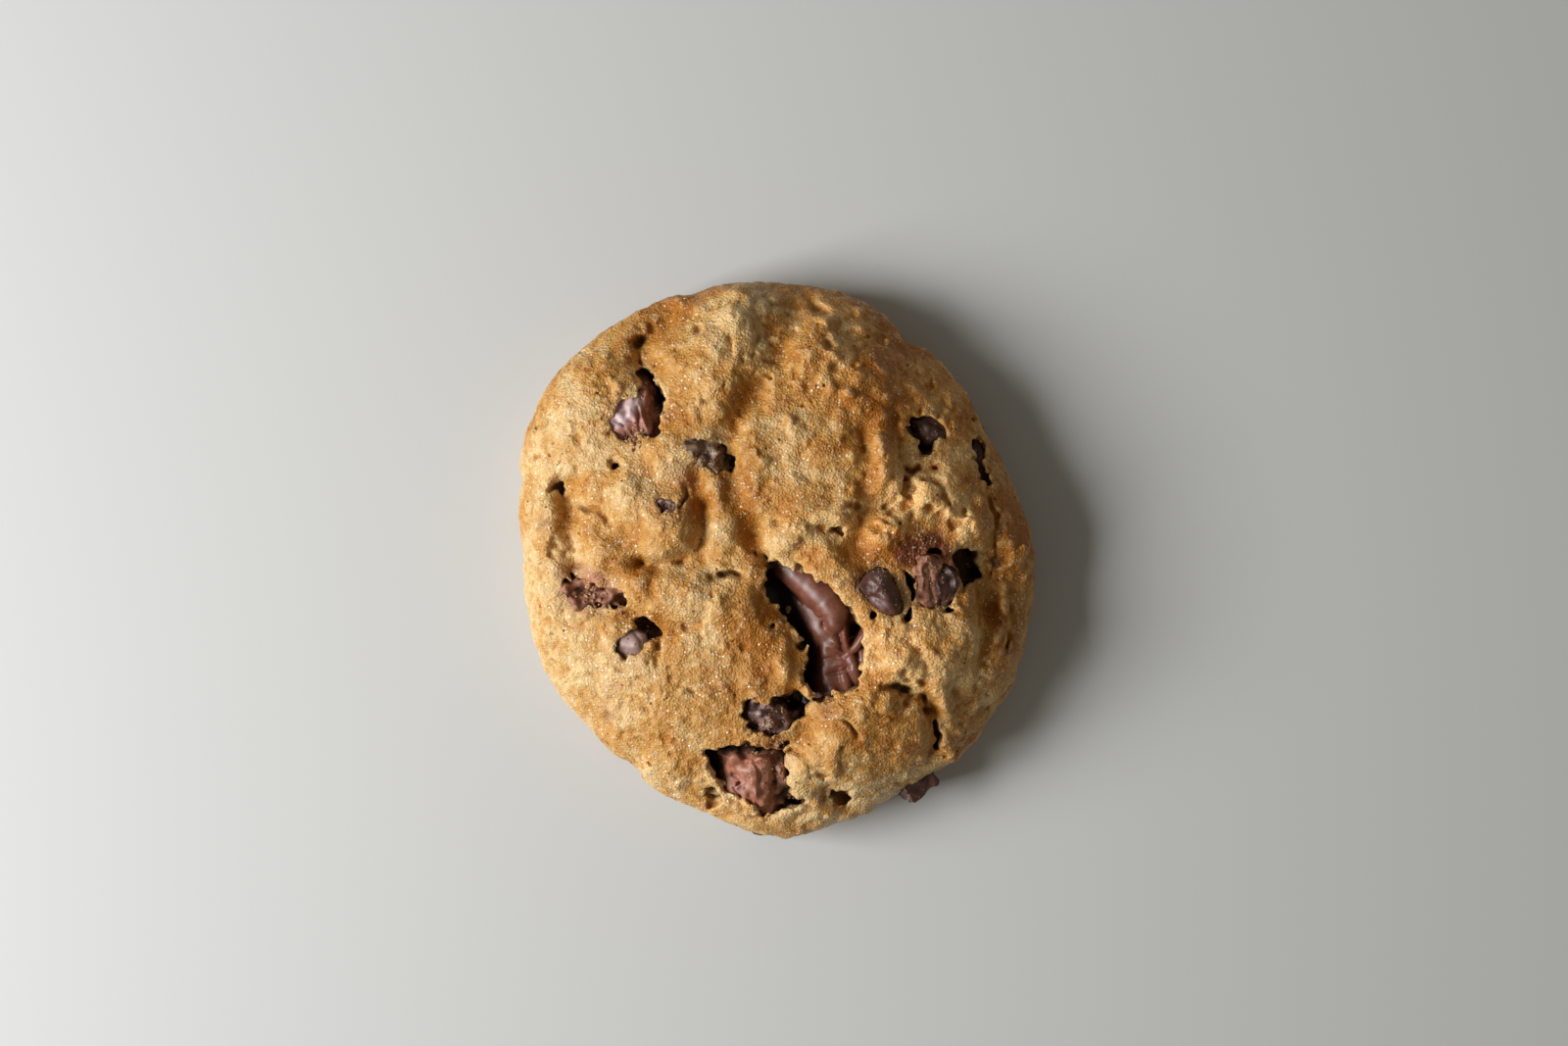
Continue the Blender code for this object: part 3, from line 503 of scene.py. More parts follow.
# Each piece set in the dough: the opening in the dough above it; its body's outline in plan, or
# else how far it runs on under the dough; how deep its top lies under the smooth dome (a sheet
# through points, or the deepest of some planes (x, y, depth, slope in x, slope in y)); strokes on
# its top (path, half width, rise); round ridges on it (x, y, depth of the crest, radius); its grain;
# and its thickness. Less than 0 deep stands proud. Below the depth where its painted shade starts,
# its colour is painted near black, as shade.
PITTED = {
    "chunk_centre": dict(
        opening=((-1.5, -0.1), (0, -0.5), (3, -0.7), (5.4, -1.2), (6.2, -2.5), (8.2, -3.7), (9.8, -5.3),
                 (10.4, -6.4), (12.1, -8.8), (13.4, -9.6), (14.0, -10.0), (13.9, -11.6), (13.5, -12.8),
                 (13.4, -14.9), (13.3, -16.6), (13.9, -17.9), (13.0, -19.3), (11.2, -20.3), (8.8, -20.8),
                 (7.4, -21.4), (5.8, -21.3), (5.0, -20.0), (3.6, -18.6), (3.2, -17.4), (4.0, -16.2),
                 (4.4, -14.6), (3.7, -12.4), (2.8, -10.9), (1.2, -9.4), (0.5, -7.8), (-0.2, -6.9),
                 (-1.7, -7.1), (-2.0, -4.7), (-1.9, -2.4)),
        under=1.0, painted_shade_from=4.1, thick=11.0, grain=0.02, round=0.35, lumpy=0.1,
        sheet=((-3, 0, 7.5), (-3, -6, 7.5), (0, -10, 7.5), (2.5, -14, 7.5), (3, -18, 7.5), (5, -21.5, 7),
               (0.5, -4.5, 7.5), (2.6, -9.5, 7.2), (4.6, -13, 6.8), (5.2, -17, 6.6), (1.6, -1.4, 4.6),
               (4.4, -1.0, 3.6), (6, -4.4, 4.0), (9, -6, 3.4), (12, -8.4, 3.4), (3.2, -7.2, 5.4),
               (4.6, -8.4, 4.6), (6.2, -9.4, 3.9), (7.6, -10.8, 3.3), (5.4, -10.9, 4.4), (6.4, -12, 4.0),
               (8, -12.6, 3.4), (9.7, -12.6, 3.0), (6.2, -14.2, 5.2), (7.0, -14.4, 3.9), (9.2, -14.6, 3.2),
               (10.6, -15.2, 2.9), (6.2, -16.8, 5.2), (7.0, -17, 3.9), (9.4, -16.8, 3.2), (13.4, -15.6, 2.7),
               (6.0, -19.6, 5.0), (7.0, -19.6, 3.7), (9.4, -19.4, 3.1), (13.8, -18.6, 2.9), (6.2, -22, 4.8),
               (9.0, -22.4, 3.6), (11.6, -21.8, 3.2), (12.2, -11.5, 7.2), (11.9, -12.7, 6.6),
               (13.4, -10.6, 5.4), (14.8, -13, 3.0), (15, -10, 4.4)),
        ridges=(((1.0, 0.5, 3.7, 2.4), (1.7, -0.6, 3.1, 2.6), (5.2, -3.2, 1.9, 2.9), (8.0, -5.8, 0.9, 2.9),
                 (9.2, -7.8, 0.5, 2.5), (9.3, -9.5, 0.7, 1.5)),
                ((14.4, -10.8, 1.7, 0.7), (12.6, -13.4, 2.1, 0.7), (10.9, -14.8, 2.6, 0.5)),
                ((10.5, -10.0, 1.7, 0.35), (10.7, -12.2, 2.0, 0.4), (11.2, -13.9, 2.4, 0.4)),
                ((11.8, -15.4, 2.4, 0.9), (12.4, -17.0, 2.0, 1.1), (12.9, -18.6, 2.2, 1.0)),
                ((10.4, -17.2, 2.7, 0.8), (11.0, -18.8, 2.3, 1.0), (11.5, -20.4, 2.5, 0.9)),
                ((8.2, -18.6, 3.3, 0.8), (8.9, -20.2, 2.8, 1.0), (8.8, -21.6, 3.2, 0.9)),
                ((13.6, -14.2, 2.5, 0.7), (13.8, -16.4, 2.5, 0.7)),
                ((7.4, -16.8, 3.6, 0.5), (9.2, -16.4, 2.9, 0.6), (10.8, -15.8, 2.7, 0.5))),
        strokes=(((5.4, -7.3), (6.6, -8.0), (7.4, -9.0), (7.3, -10.2)), 0.24, -0.40,
                 ((11.0, -14.6), (9.6, -13.4), (8.4, -12.9)), 0.20, -0.22,
                 ((10.6, -14.9), (9.2, -14.0), (7.8, -13.8)), 0.22, -0.25,
                 ((10.6, -15.3), (9.0, -15.1), (7.4, -15.4)), 0.22, -0.22,
                 ((8.0, -17.8), (10.2, -17.4), (11.6, -16.4)), 0.28, -0.40,
                 ((12.9, -19.6), (13.4, -20.6)), 0.4, -0.4)),
    "chunk_bottom": dict(
        opening=((-12.3, -30.4), (-10.8, -29.1), (-8.6, -29.4), (-6.6, -28.8), (-4.0, -28.7), (-2.0, -29.0),
                 (0.0, -29.1), (1.2, -29.8), (1.2, -31.6), (1.8, -33.4), (1.4, -35.0), (2.2, -36.6),
                 (3.6, -37.6), (4.8, -38.3), (3.6, -39.2), (1.6, -40.0), (-0.6, -40.4), (-2.4, -40.3),
                 (-4.6, -39.0), (-6.0, -37.9), (-7.0, -37.2), (-8.4, -36.4), (-9.4, -34.8), (-10.4, -33.2),
                 (-11.2, -31.6)),
        under=0.9, painted_shade_from=2.1, thick=9.0, grain=0.18, round=0.3,
        planes=((-5.6, -34.7, 0.9, -0.34, 0.03), (-3.2, -35.2, 0.15, 0.80, 0.06),
                (-8.1, -34.2, 1.6, -1.6, -0.10), (-5.0, -31.0, 1.7, -0.1, 2.0),
                (-1.6, -38.8, 0.4, 0.1, -0.45)),
        strokes=(((-7.3, -33.0), (-7.1, -34.0), (-5.6, -34.9), (-6.9, -36.1), (-6.2, -37.2), (-5.4, -38.4)),
                 0.24, -0.75,
                 ((-4.8, -31.0), (-4.2, -34.2), (-3.1, -36.8), (-1.8, -39.0)), 0.5, 0.30,
                 ((-1.0, -30.0), (-0.8, -32.2), (-0.2, -33.8), (-0.5, -35.8)), 0.6, -0.9,
                 ((-2.0, -30.8), (-1.4, -32.4)), 0.5, 0.5,
                 ((0.9, -30.6), (1.0, -32.4), (0.9, -33.8)), 0.5, 1.0,
                 ((1.0, -34.8), (1.6, -36.2)), 0.6, 0.6,
                 ((2.4, -37.0), (4.4, -38.2)), 0.8, 0.7,
                 ((-3.6, -31.6), (-2.6, -33.6), (-2.8, -35.6)), 0.3, -0.4,
                 ((-3.9, -38.1), (-3.3, -39.8)), 0.3, 0.35)),
    "chunk_upper_left": dict(
        opening=((-23.0, 31.2), (-21.2, 31.0), (-19.4, 30.1), (-18.8, 27.9), (-18.1, 26), (-17.8, 23.5),
                 (-17.8, 22), (-19, 20.6), (-20.2, 19.3), (-21.4, 20.2), (-22.6, 19.1), (-24, 18.8),
                 (-25.4, 19.9), (-27.2, 21.5), (-25.8, 22.7), (-24.3, 25), (-23.1, 26.4), (-22.1, 27.9),
                 (-22.4, 29.4)),
        under=0.9, painted_shade_from=3.4, thick=8.0, grain=0.15, round=0.3,
        planes=((-25.4, 22.0, 0.2, -0.30, 0.12), (-22.7, 23.6, 0.0, 0.28, -0.10),
                (-22.6, 20.8, 0.6, -0.1, -0.60), (-21.0, 29.0, 2.8, 0.5, 0.6),
                (-20.2, 24.0, 2.4, 1.5, 0.3)),
        strokes=(((-21.0, 23.2), (-20.6, 21.8), (-20.0, 20.6)), 0.6, 0.9,
                 ((-22.0, 24.6), (-21.9, 22.6), (-21.6, 20.6)), 0.26, -0.6,
                 ((-25.6, 22.4), (-24.2, 21.5), (-22.8, 21.3)), 0.22, -0.4,
                 ((-24.0, 21.0), (-23.6, 19.6)), 0.22, -0.35,
                 ((-23.0, 20.9), (-22.3, 19.6)), 0.22, -0.35,
                 ((-20.6, 28.4), (-20.9, 26.0), (-20.6, 24.6)), 0.5, 1.0)),
    "chunk_left": dict(
        opening=((-33.4, -2.8), (-32.4, -2.2), (-31.4, -2.6), (-30.2, -3.2), (-28.1, -3.8), (-25.4, -4.2),
                 (-23.9, -4.6), (-23.8, -5.8), (-24.4, -7.4), (-25.6, -7.8), (-26.6, -6.6), (-28.2, -6.4),
                 (-30.2, -7.4), (-31.4, -7.0), (-32.4, -5.6), (-33.4, -4.2)),
        under=0.8, painted_shade_from=2.6, thick=6.0, grain=0.40,
        planes=((-29.0, -4.5, 1.2, 0.16, 0.12), (-29.0, -7.0, 0.9, 0.0, -0.3)),
        strokes=(((-33.8, -3.8), (-32.6, -6.0), (-31.0, -7.2)), 0.5, 0.9,
                 ((-29.0, -6.4), (-27.4, -6.2), (-25.8, -5.4)), 0.6, 0.6,
                 ((-28.5, -4.4), (-26.5, -4.8), (-24.4, -5.2)), 0.5, 0.9,
                 ((-32.4, -3.4), (-30.6, -4.6), (-28.8, -5.2)), 0.5, -0.4)),
    "chip_centre_low": dict(
        opening=((-5.6, -22.0), (-4.1, -21.1), (-2.6, -21.7), (-1.0, -21.5), (0.6, -21.0), (2.7, -20.8),
                 (4.2, -21.3), (6.0, -21.4), (6.6, -22.3), (5.0, -23.3), (3.4, -24.5), (2.0, -26.3),
                 (0.1, -27.2), (-1.5, -27.3), (-3.2, -26.8), (-5.0, -25.3)),
        under=0.7,
        painted_shade_from=2.6, thick=6.0, grain=0.34, round=0.4,
        sheet=((-6.6, -23.1, 4.5), (-4.6, -21.1, 3.4), (-3.8, -23.1, 1.1), (-2.2, -24.5, 0.7), (-0.2, -24.1, 0.9),
               (-2.0, -26.5, 1.2), (-4.0, -25.5, 2.0), (0.8, -23.3, 1.4), (1.0, -25.5, 1.4),
               (-1.0, -22.1, 1.5), (2.6, -22.3, 4.6), (5.0, -22.3, 4.4), (2.8, -24.7, 3.6)),
        strokes=()),
    "chip_left_low": dict(
        opening=((-25.5, -13.3), (-25.0, -12.0), (-24.0, -11.4), (-23.0, -10.4), (-21.6, -9.0),
                 (-19.4, -9.3), (-17.4, -10.8), (-18.2, -12.2), (-20.4, -12.6), (-21.0, -13.8),
                 (-22.6, -14.7), (-24.2, -14.8), (-25.2, -14.2)),
        body=((-26.4, -13.4), (-25.8, -11.6), (-24.0, -10.8), (-22.2, -10.6), (-20.6, -11.2), (-20.4, -12.8),
              (-21.4, -14.4), (-23.2, -15.6), (-25.4, -15.2)),
        thick=5.0, grain=0.05, round=0.35,
        sheet=((-25.9, -13.2, 0.8), (-25, -12.6, 0.45), (-23.5, -12.8, 0.25), (-22.2, -13.0, 0.25),
               (-23.6, -14.6, 0.7), (-23.4, -11.6, 0.8), (-21.6, -11.6, 1.2), (-20.9, -12.6, 1.2),
               (-19.4, -10.6, 2.8), (-18, -11.4, 3.0), (-21.2, -9.8, 2.6)),
        strokes=(((-22.6, -11.0), (-21.6, -12.2), (-21.4, -13.6)), 0.25, -0.15)),
    "chip_top": dict(
        opening=((-13.8, 18.4), (-12.3, 19.2), (-10.2, 19), (-8.6, 18), (-7.0, 16.4), (-6.6, 15.0),
                 (-7.6, 13.8), (-9.4, 14.4), (-11, 15.8), (-12.6, 17)),
        under=0.6, thick=5.0, grain=0.34,
        sheet=((-13.2, 18.2, 0.3), (-11.6, 17.4, -0.2), (-9.8, 16.0, 0.1), (-8.2, 14.8, 0.8), (-8.6, 16.8, 0.8),
               (-10.4, 18.2, 0.8), (-12.2, 18.8, 0.9), (-7.4, 14.2, 2.0)),
        strokes=()),
    "chip_nose": dict(
        opening=((-18.9, 9.4), (-18.2, 10.0), (-17.4, 9.5), (-16.6, 9.7), (-15.6, 8.9), (-16.0, 7.6),
                 (-17.4, 7.1), (-18.0, 8.1)),
        under=0.4, thick=4.0, grain=0.26,
        sheet=((-18.4, 9.4, 0.6), (-16.4, 9.2, 0.5), (-17.8, 8.2, 0.7), (-16.0, 8.2, 0.8),
               (-17.2, 8.8, 0.6), (-17.0, 7.4, 0.6)),
        strokes=(((-17.6, 9.2), (-17.0, 8.2)), 0.4, -0.9,
                 ((-16.4, 8.8), (-16.4, 7.8)), 0.3, -0.7)),
    "chip_upper_right": dict(
        opening=((20.4, 23), (21.4, 23.4), (22.6, 22.9), (24, 23.5), (25.4, 23.0), (26.4, 21.3),
                 (26.2, 19.5), (25.2, 18.4), (24.4, 16.9), (23, 16.9), (22, 18.8), (21, 21)),
        under=0.6,
        thick=5.0, grain=0.20,
        sheet=((20.6, 22.8, 4.6), (22.0, 18.6, 4.6), (23.2, 17.2, 4.8), (23.4, 21.2, 0.9), (24.8, 21.6, 0.9),
               (25.6, 20, 1.2), (24.2, 19.4, 0.9), (22.4, 21.6, 1.8), (24.2, 17.6, 4.0)),
        strokes=(((22.8, 21.8), (23.8, 20.4), (25.0, 19.6)), 0.35, -0.6)),
    "chip_right_rim": dict(
        opening=((31.4, 19.9), (32.4, 19.5), (33.1, 18), (33.6, 15.5), (34.4, 13.3), (33.8, 12.4),
                 (32.7, 13.5), (31.7, 15), (30.9, 16.5), (31.2, 18)),
        under=0.5, thick=5.0, grain=0.10,
        sheet=((31.6, 19, 2.8), (32.4, 16.6, 2.2), (33.4, 13.6, 2.4), (31.4, 16.6, 3.2), (33.2, 17, 1.4)),
        strokes=()),
    "chip_kiss": dict(
        opening=((11.5, -3.4), (13.2, -2.0), (14.8, -1.3), (16, -0.5), (17.4, -0.6), (18.8, -1.6),
                 (20.0, -3.4), (20.8, -5.6), (20.9, -7.4), (20, -8.4), (18.2, -8.6), (16.6, -8.0),
                 (14.9, -6.8), (13.2, -5.2)),
        body=((11.7, -3.3), (13.3, -1.9), (14.6, -1.1), (16, -0.4), (17.4, -0.6), (18.5, -2.0),
              (19.6, -4.4), (20.4, -6.8), (19.8, -8.2), (18.2, -8.8), (16.6, -8.2), (15.0, -7.0),
              (13.2, -5.2)),
        snug=0.7, thick=7.0, grain=0.05, round=1.3,
        sheet=((11.8, -3.4, 0.2), (12.8, -3.4, -0.5), (14.2, -3.4, -1.2), (15.8, -1.6, -0.6), (17.0, -1.2, -0.2),
               (16.2, -3.6, -2.3), (17.4, -5.4, -2.5), (18.2, -7.0, -1.7), (15.6, -5.4, -1.6),
               (16.6, -7.2, -1.0), (14.0, -5.2, -0.4), (19.6, -5.0, 0.2), (20.2, -7.2, 0.6),
               (18.2, -8.4, -0.2), (18.4, -3.0, -0.3)),
        strokes=(((15.2, -6.6), (16.2, -7.0), (17.0, -7.9)), 0.45, 0.45,
                 ((14.2, -5.0), (15.8, -5.6), (16.8, -6.4)), 0.35, -0.30,
                 ((14.8, -2.6), (15.6, -3.6), (15.4, -4.6)), 0.4, 0.30,
                 ((15.6, -2.2), (16.6, -3.0)), 0.35, 0.35)),
    "chunk_right": dict(
        opening=((21.8, 0.6), (23.6, 1.2), (25.4, 0.8), (25.8, -1.0), (25.2, -3.2), (25.8, -7.2),
                 (23.8, -7.5), (22.4, -6.4), (21.9, -4.6), (21.7, -2.0)),
        snug=0.5, thick=6.0, grain=0.16, round=0.4,
        planes=((23.0, -3.0, -0.5, -0.50, -0.04), (24.2, -3.2, -0.8, 0.55, 0.0),
                (23.6, -6.4, -0.3, 0.0, -0.8)),
        strokes=(((22.5, -0.6), (23.0, -2.4), (22.7, -4.4)), 0.35, 0.35,
                 ((23.8, 0.4), (24.0, -2.0), (24.3, -4.6), (24.7, -6.4)), 0.35, -0.40)),
    "chip_right": dict(
        opening=((24.8, -1.0), (25.5, 0.2), (26.9, 0.6), (28.3, -0.4), (29.1, -2.6), (28.9, -5.0),
                 (28.1, -7.0), (26.3, -7.8), (25.2, -6.8), (24.3, -4.0)),
        snug=0.4, thick=6.0, grain=0.14, round=1.0,
        sheet=((24.8, -1.0, 0.6), (26.3, 0.0, 0.7), (28.1, -1.2, 0.6), (28.8, -3.2, 0.5), (28.5, -5.4, 0.7),
               (27.1, -7.4, 0.9), (25.3, -6.4, 0.6), (26.5, -3.6, -1.0), (24.9, -3.4, 0.0), (27.7, -3.6, -0.6),
               (26.5, -5.4, -0.6), (26.5, -1.8, -0.6)),
        strokes=(((26.8, -0.7), (27.9, -2.2), (28.1, -4.2), (27.5, -6.2)), 0.18, 0.35,
                 ((26.1, -1.2), (27.2, -2.6), (27.3, -4.4), (26.7, -5.8)), 0.24, -0.35,
                 ((25.5, -1.4), (25.2, -3.2), (25.7, -5.4)), 0.30, 0.30)),
}

# Empty hollows in the dough: (depth under the dome, outline)
HOLLOWS = (
    (4.2, ((23.4, 1.2), (24.0, 2.0), (25.6, 2.2), (26.6, 1.5), (26.2, 0.6), (24.6, 0.6))),
    (5.5, ((27.6, 1.0), (28.6, 2.0), (29.6, 1.7), (30.5, 2.4), (31.3, 1.4), (31.2, 0.2), (32.2, -1.2),
           (32.6, -2.6), (31.6, -3.9), (30.6, -3.8), (29.4, -4.6), (28.8, -2.2), (28.2, -0.4))),
    (4.8, ((19.8, -1.4), (20.8, -1.4), (21.8, -2.6), (21.7, -5.2), (21.2, -7.0), (21.0, -9.0),
           (20.1, -9.8), (19.5, -8.9), (20.6, -7.2), (20.5, -4.4))),
    (4.0, ((26.6, -7.0), (28.8, -7.2), (28.2, -8.2), (27.0, -8.0))),
    (2.6, ((14.6, -7.4), (15.9, -7.9), (15.6, -8.9), (14.8, -8.6))),
    (3.0, ((24.4, -24.6), (25.3, -25.0), (26.0, -27.4), (26.2, -29.8), (25.4, -30.2), (24.7, -28.0))),
    (2.4, ((-26.2, 15.9), (-25.2, 16.2), (-24.8, 15.3), (-25.5, 14.8), (-26.2, 15.1))),
    (2.2, ((-35.8, 12.6), (-34.8, 13.0), (-33.9, 11.9), (-34.8, 11.4), (-35.6, 11.8))),
    (2.6, ((0.4, -28.3), (1.4, -28.0), (1.9, -28.9), (1.0, -29.6), (0.2, -29.2))),
    (2.0, ((8.2, -36.0), (9.6, -36.4), (12.0, -37.8), (11.8, -39.2), (10.0, -39.4), (8.6, -38.0))),
    (1.5, ((-11.6, -36.0), (-10.0, -35.6), (-8.6, -37.6), (-9.2, -39.4), (-11.0, -39.6), (-11.0, -38.0))),
)


def depth_under_dome(spec, x, y):
    if "sheet" in spec:
        depth = thin_plate(spec["sheet"], x, y)
    else:
        depth = np.max([d + sx * (x - px) + sy * (y - py)
                        for px, py, d, sx, sy in spec["planes"]], axis=0)
    for ridge in spec.get("ridges", ()):
        depth = smooth_min(depth, ridge_depth(x, y, ridge), 0.25)
    rows = iter(spec["strokes"])
    for path, half_width, rise in zip(rows, rows, rows, strict=True):
        depth = depth - stroke(x, y, path, half_width, rise)
    return depth


def ragged(x, y, axes, amount, seed, period=2.2):
    """The plan's coordinates pushed about, so that outlines drawn with them come out ragged."""
    far = amount * noise(axes, period, seed) + 0.5 * amount * noise(axes, 0.45 * period, seed + 1)
    far_y = amount * noise(axes, period, seed + 2) + 0.5 * amount * noise(axes, 0.45 * period, seed + 3)
    return x + far, y + far_y


def pitted_field(name, spec, grid):
    """A piece of chocolate in a pit: under its own top, and within its outline."""
    x, y = grid.x[..., 0], grid.y[..., 0]
    plan = (grid.axes[0], grid.axes[1])
    xx, yy = np.broadcast_arrays(x, y)
    top = dome_height(xx, yy, spec.get("lumpy", 1.0)) - depth_under_dome(spec, xx, yy)
    seed = 100 + len(name) * 7
    inside = inside_distance(xx, yy, spec.get("body", spec["opening"])) + spec.get("under", 0.0)
    top = top + spec["grain"] * noise(plan, 1.6, seed) + 0.6 * spec["grain"] * noise(plan, 0.7, seed + 1)
    slope_x, slope_y = np.gradient(top, grid.step)
    steep = np.sqrt(1 + slope_x ** 2 + slope_y ** 2)
    under_top = (top[..., None] - grid.z) / steep[..., None]
    middle = float(np.median(top[inside > 0]))
    field = smooth_min(under_top, inside[..., None], spec.get("round", 0.5))
    return np.minimum(field, grid.z - (middle - spec["thick"]))


# ---------------------------------------------------------------- chocolate at the rim
def slab_field(spec, grid):
    """A broken slab with rounded edges."""
    turn = Matrix.Rotation(math.radians(spec["turns"][2]), 3, "Z")
    turn = turn @ Matrix.Rotation(math.radians(spec["turns"][1]), 3, "Y")
    turn = turn @ Matrix.Rotation(math.radians(spec["turns"][0]), 3, "X")
    cx, cy, cz = spec["centre"]
    dx, dy, dz = grid.x - cx, grid.y - cy, grid.z - cz
    sides = []
    for k in range(3):
        away = np.abs(dx * turn[0][k] + dy * turn[1][k] + dz * turn[2][k])
        sides.append(spec["size"][k] / 2 - away)
    return smooth_min(smooth_min(sides[0], sides[1], spec["round"]), sides[2], spec["round"])


SLABS = {
    "chunk_rim": dict(centre=(22.0, -35.0, 8.0), size=(6.0, 6.4, 5.0), turns=(8, 12, 38), round=0.6,
                      grain=0.14),
    "chunk_foot": dict(centre=(-2.0, -42.2, 3.6), size=(5.4, 5.6, 4.0), turns=(0, 6, 12), round=0.9,
                       grain=0.08),
}


def node_box(name):
    low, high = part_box(name)
    return np.array(low) / MM, np.array(high) / MM


def chocolate_field(name, grid):
    """The field of any piece of chocolate, without its fine grain."""
    if name in PITTED:
        return pitted_field(name, PITTED[name], grid)
    return slab_field(SLABS[name], grid)


def grain_of(name):
    return {**PITTED, **SLABS}[name]["grain"]


CHOCOLATE = (*PITTED, *SLABS)

# ---------------------------------------------------------------- the dough
def carve_pits(field, grid, tops):
    """Opens the dough above each piece that lies in a pit."""
    for name, spec in PITTED.items():
        points = np.array(spec["opening"])
        low = (*(points.min(0) - 3.0), -5.0)
        high = (*(points.max(0) + 3.0), 40.0)
        cut, part = slab_of(grid, low, high)
        x, y = np.broadcast_arrays(part.x[..., 0], part.y[..., 0])
        plan = (part.axes[0], part.axes[1])
        seed = 300 + 11 * len(tops)
        rx, ry = ragged(x, y, plan, 0.24, seed, 1.4)
        open_ = inside_distance(rx, ry, spec["opening"]) - spec.get("snug", 0.0)
        open_ = open_[..., None] + 0.14 * noise(part.axes, 1.0, seed + 7)
        open_ = open_ + 0.22 * noise(part.axes, 0.62, seed + 8)
        top = dome_height(x, y, spec.get("lumpy", 1.0)) - depth_under_dome(spec, x, y)
        carved = smooth_min(open_, part.z - (top[..., None] - 0.9), 0.3)
        field[cut] = smooth_min(field[cut], -carved, 0.35)
        tops.append((cut, open_[..., 0]))
    for number, (depth, outline) in enumerate(HOLLOWS):
        points = np.array(outline)
        cut, part = slab_of(grid, (*(points.min(0) - 3.0), -5.0), (*(points.max(0) + 3.0), 40.0))
        x, y = np.broadcast_arrays(part.x[..., 0], part.y[..., 0])
        rx, ry = ragged(x, y, (part.axes[0], part.axes[1]), 0.22, 700 + 11 * number, 1.4)
        open_ = inside_distance(rx, ry, outline)[..., None] + 0.12 * noise(part.axes, 1.0, 707 + 11 * number)
        carved = smooth_min(open_, part.z - (dome_height(x, y) - depth)[..., None], 0.6)
        field[cut] = smooth_min(field[cut], -carved, 0.3)


def cut_sockets(field, grid, boxes):
    """Takes every piece of chocolate out of the dough, leaving SOCKET_GAP around it (below 0, a slight overlap), and
    returns how near chocolate is, over the whole grid."""
    near = np.full(grid.shape, -9.0, np.float32)
    for name in CHOCOLATE:
        low, high = boxes[name]
        cut, part = slab_of(grid, low - 2.0, high + 2.0)
        piece = chocolate_field(name, part)
        near[cut] = np.maximum(near[cut], piece)
        field[cut] = np.minimum(field[cut], -(piece + SOCKET_GAP))
    return near


SOCKET_GAP = -0.05


def crack_depth(x, y, plan):
    """How deep the ragged cracks cut, over the plan."""
    rx, ry = ragged(x, y, plan, 0.35, 500)
    depth = np.zeros(x.shape, np.float32)
    for half_width, most, path in CRACKS:
        away, along = path_distance(rx, ry, path)
        ends = np.minimum(1, 5 * np.minimum(along + 0.1, 1.1 - along))
        depth = np.maximum(depth, most * ends * np.clip(1.35 - away / half_width, 0, 1) ** 0.8)
    return depth * np.clip(0.85 + 0.35 * noise(plan, 1.6, 510), 0.1, 1.6)


def dough_fields(grid, boxes):
    """The dough's field, its smooth form before crumbs and cracks, and how near chocolate is."""
    axes = grid.axes
    plan = (axes[0], axes[1])
    x, y = np.broadcast_arrays(grid.x[..., 0], grid.y[..., 0])
    field = dome_field(grid)
    fade = np.clip(2 * (grid.z - WAIST) / (CROWN - WAIST), 0, 1)
    rx, ry = ragged(x, y, plan, 0.45, 520, 4.5)
    field += relief(rx, ry)[..., None] * fade
    smooth = field.copy()
    side = 0.35 + 0.65 * np.clip((grid.z - 5.0) / 9.0, 0, 1)
    rx, ry = ragged(x, y, plan, 0.22, 530)
    field += 0.85 * mounds(rx, ry, KNOBS, 1.2)[..., None] * side
    rough = 1 + patch_sum(x, y, ROUGH_PATCHES)[..., None]
    clumps = side * rough * np.clip(0.75 + 0.50 * noise(axes, 9.0, 10), 0.1, 1.7)
    field += 0.15 * side * noise(axes, 6.5, 1)
    field += 0.18 * clumps * (np.abs(noise(axes, 3.2, 2)) - 0.75)
    field += 0.18 * clumps * (np.abs(noise(axes, 1.7, 3)) - 0.75)
    field -= crack_depth(x, y, plan)[..., None] * fade
    openings = []
    carve_pits(field, grid, openings)
    valley = 0.6 * smooth_step(0.3, 1.5, -relief(x, y))
    open_ = np.maximum(open_share(x, y, plan), valley)[..., None] * side
    shut = (1 - 0.7 * open_) * side
    field += 0.13 * shut * (np.abs(noise(axes, 1.0, 4)) - 0.75)
    field += 0.11 * side * (np.abs(noise(axes, 0.6, 5)) - 0.75)
    field += 0.22 * open_ * (np.abs(noise(axes, 2.3, 11)) - 0.75)
    field -= 0.70 * open_ * np.clip(noise(axes, 1.2, 8) - 0.5, 0, None)
    field -= 0.55 * open_ * np.clip(noise(axes, 0.75, 9) - 0.6, 0, None)
    field -= 0.9 * side * np.clip(noise(axes, 0.62, 7) - 2.3, 0, None)
    field[:] = smooth_min(field, np.broadcast_to(grid.z, field.shape), 0.5)
    near = cut_sockets(field, grid, boxes)
    return field, smooth, near


def open_share(x, y, plan):
    """Where the crust has torn and shows its open crumb, over the plan, from 0 to 1."""
    torn = patch_sum(x, y, TORN_PATCHES) + 0.22 * noise(plan, 3.0, 540)
    return smooth_step(0.25, 0.75, torn)


def curvature(mesh):
    """At each point, how far it stands out of its neighbours along its normal, in mm."""
    edges = np.empty(len(mesh.edges) * 2, np.int32)
    mesh.edges.foreach_get("vertices", edges)
    edges = edges.reshape(-1, 2)
    points = points_of(mesh)
    normals = np.empty(len(mesh.vertices) * 3, np.float32)
    mesh.vertices.foreach_get("normal", normals)
    normals = normals.reshape(-1, 3)
    counts = np.bincount(edges.ravel(), minlength=len(points)).clip(1)

    def averaged(values):
        total = np.bincount(edges[:, 0], values[edges[:, 1]], len(points))
        return (total + np.bincount(edges[:, 1], values[edges[:, 0]], len(points))) / counts

    middle = points
    for _ in range(4):
        middle = np.stack([averaged(middle[:, k]) for k in range(3)], 1)
    out = np.sum((points - middle) * normals, 1)
    return 0.5 * (out + averaged(out))


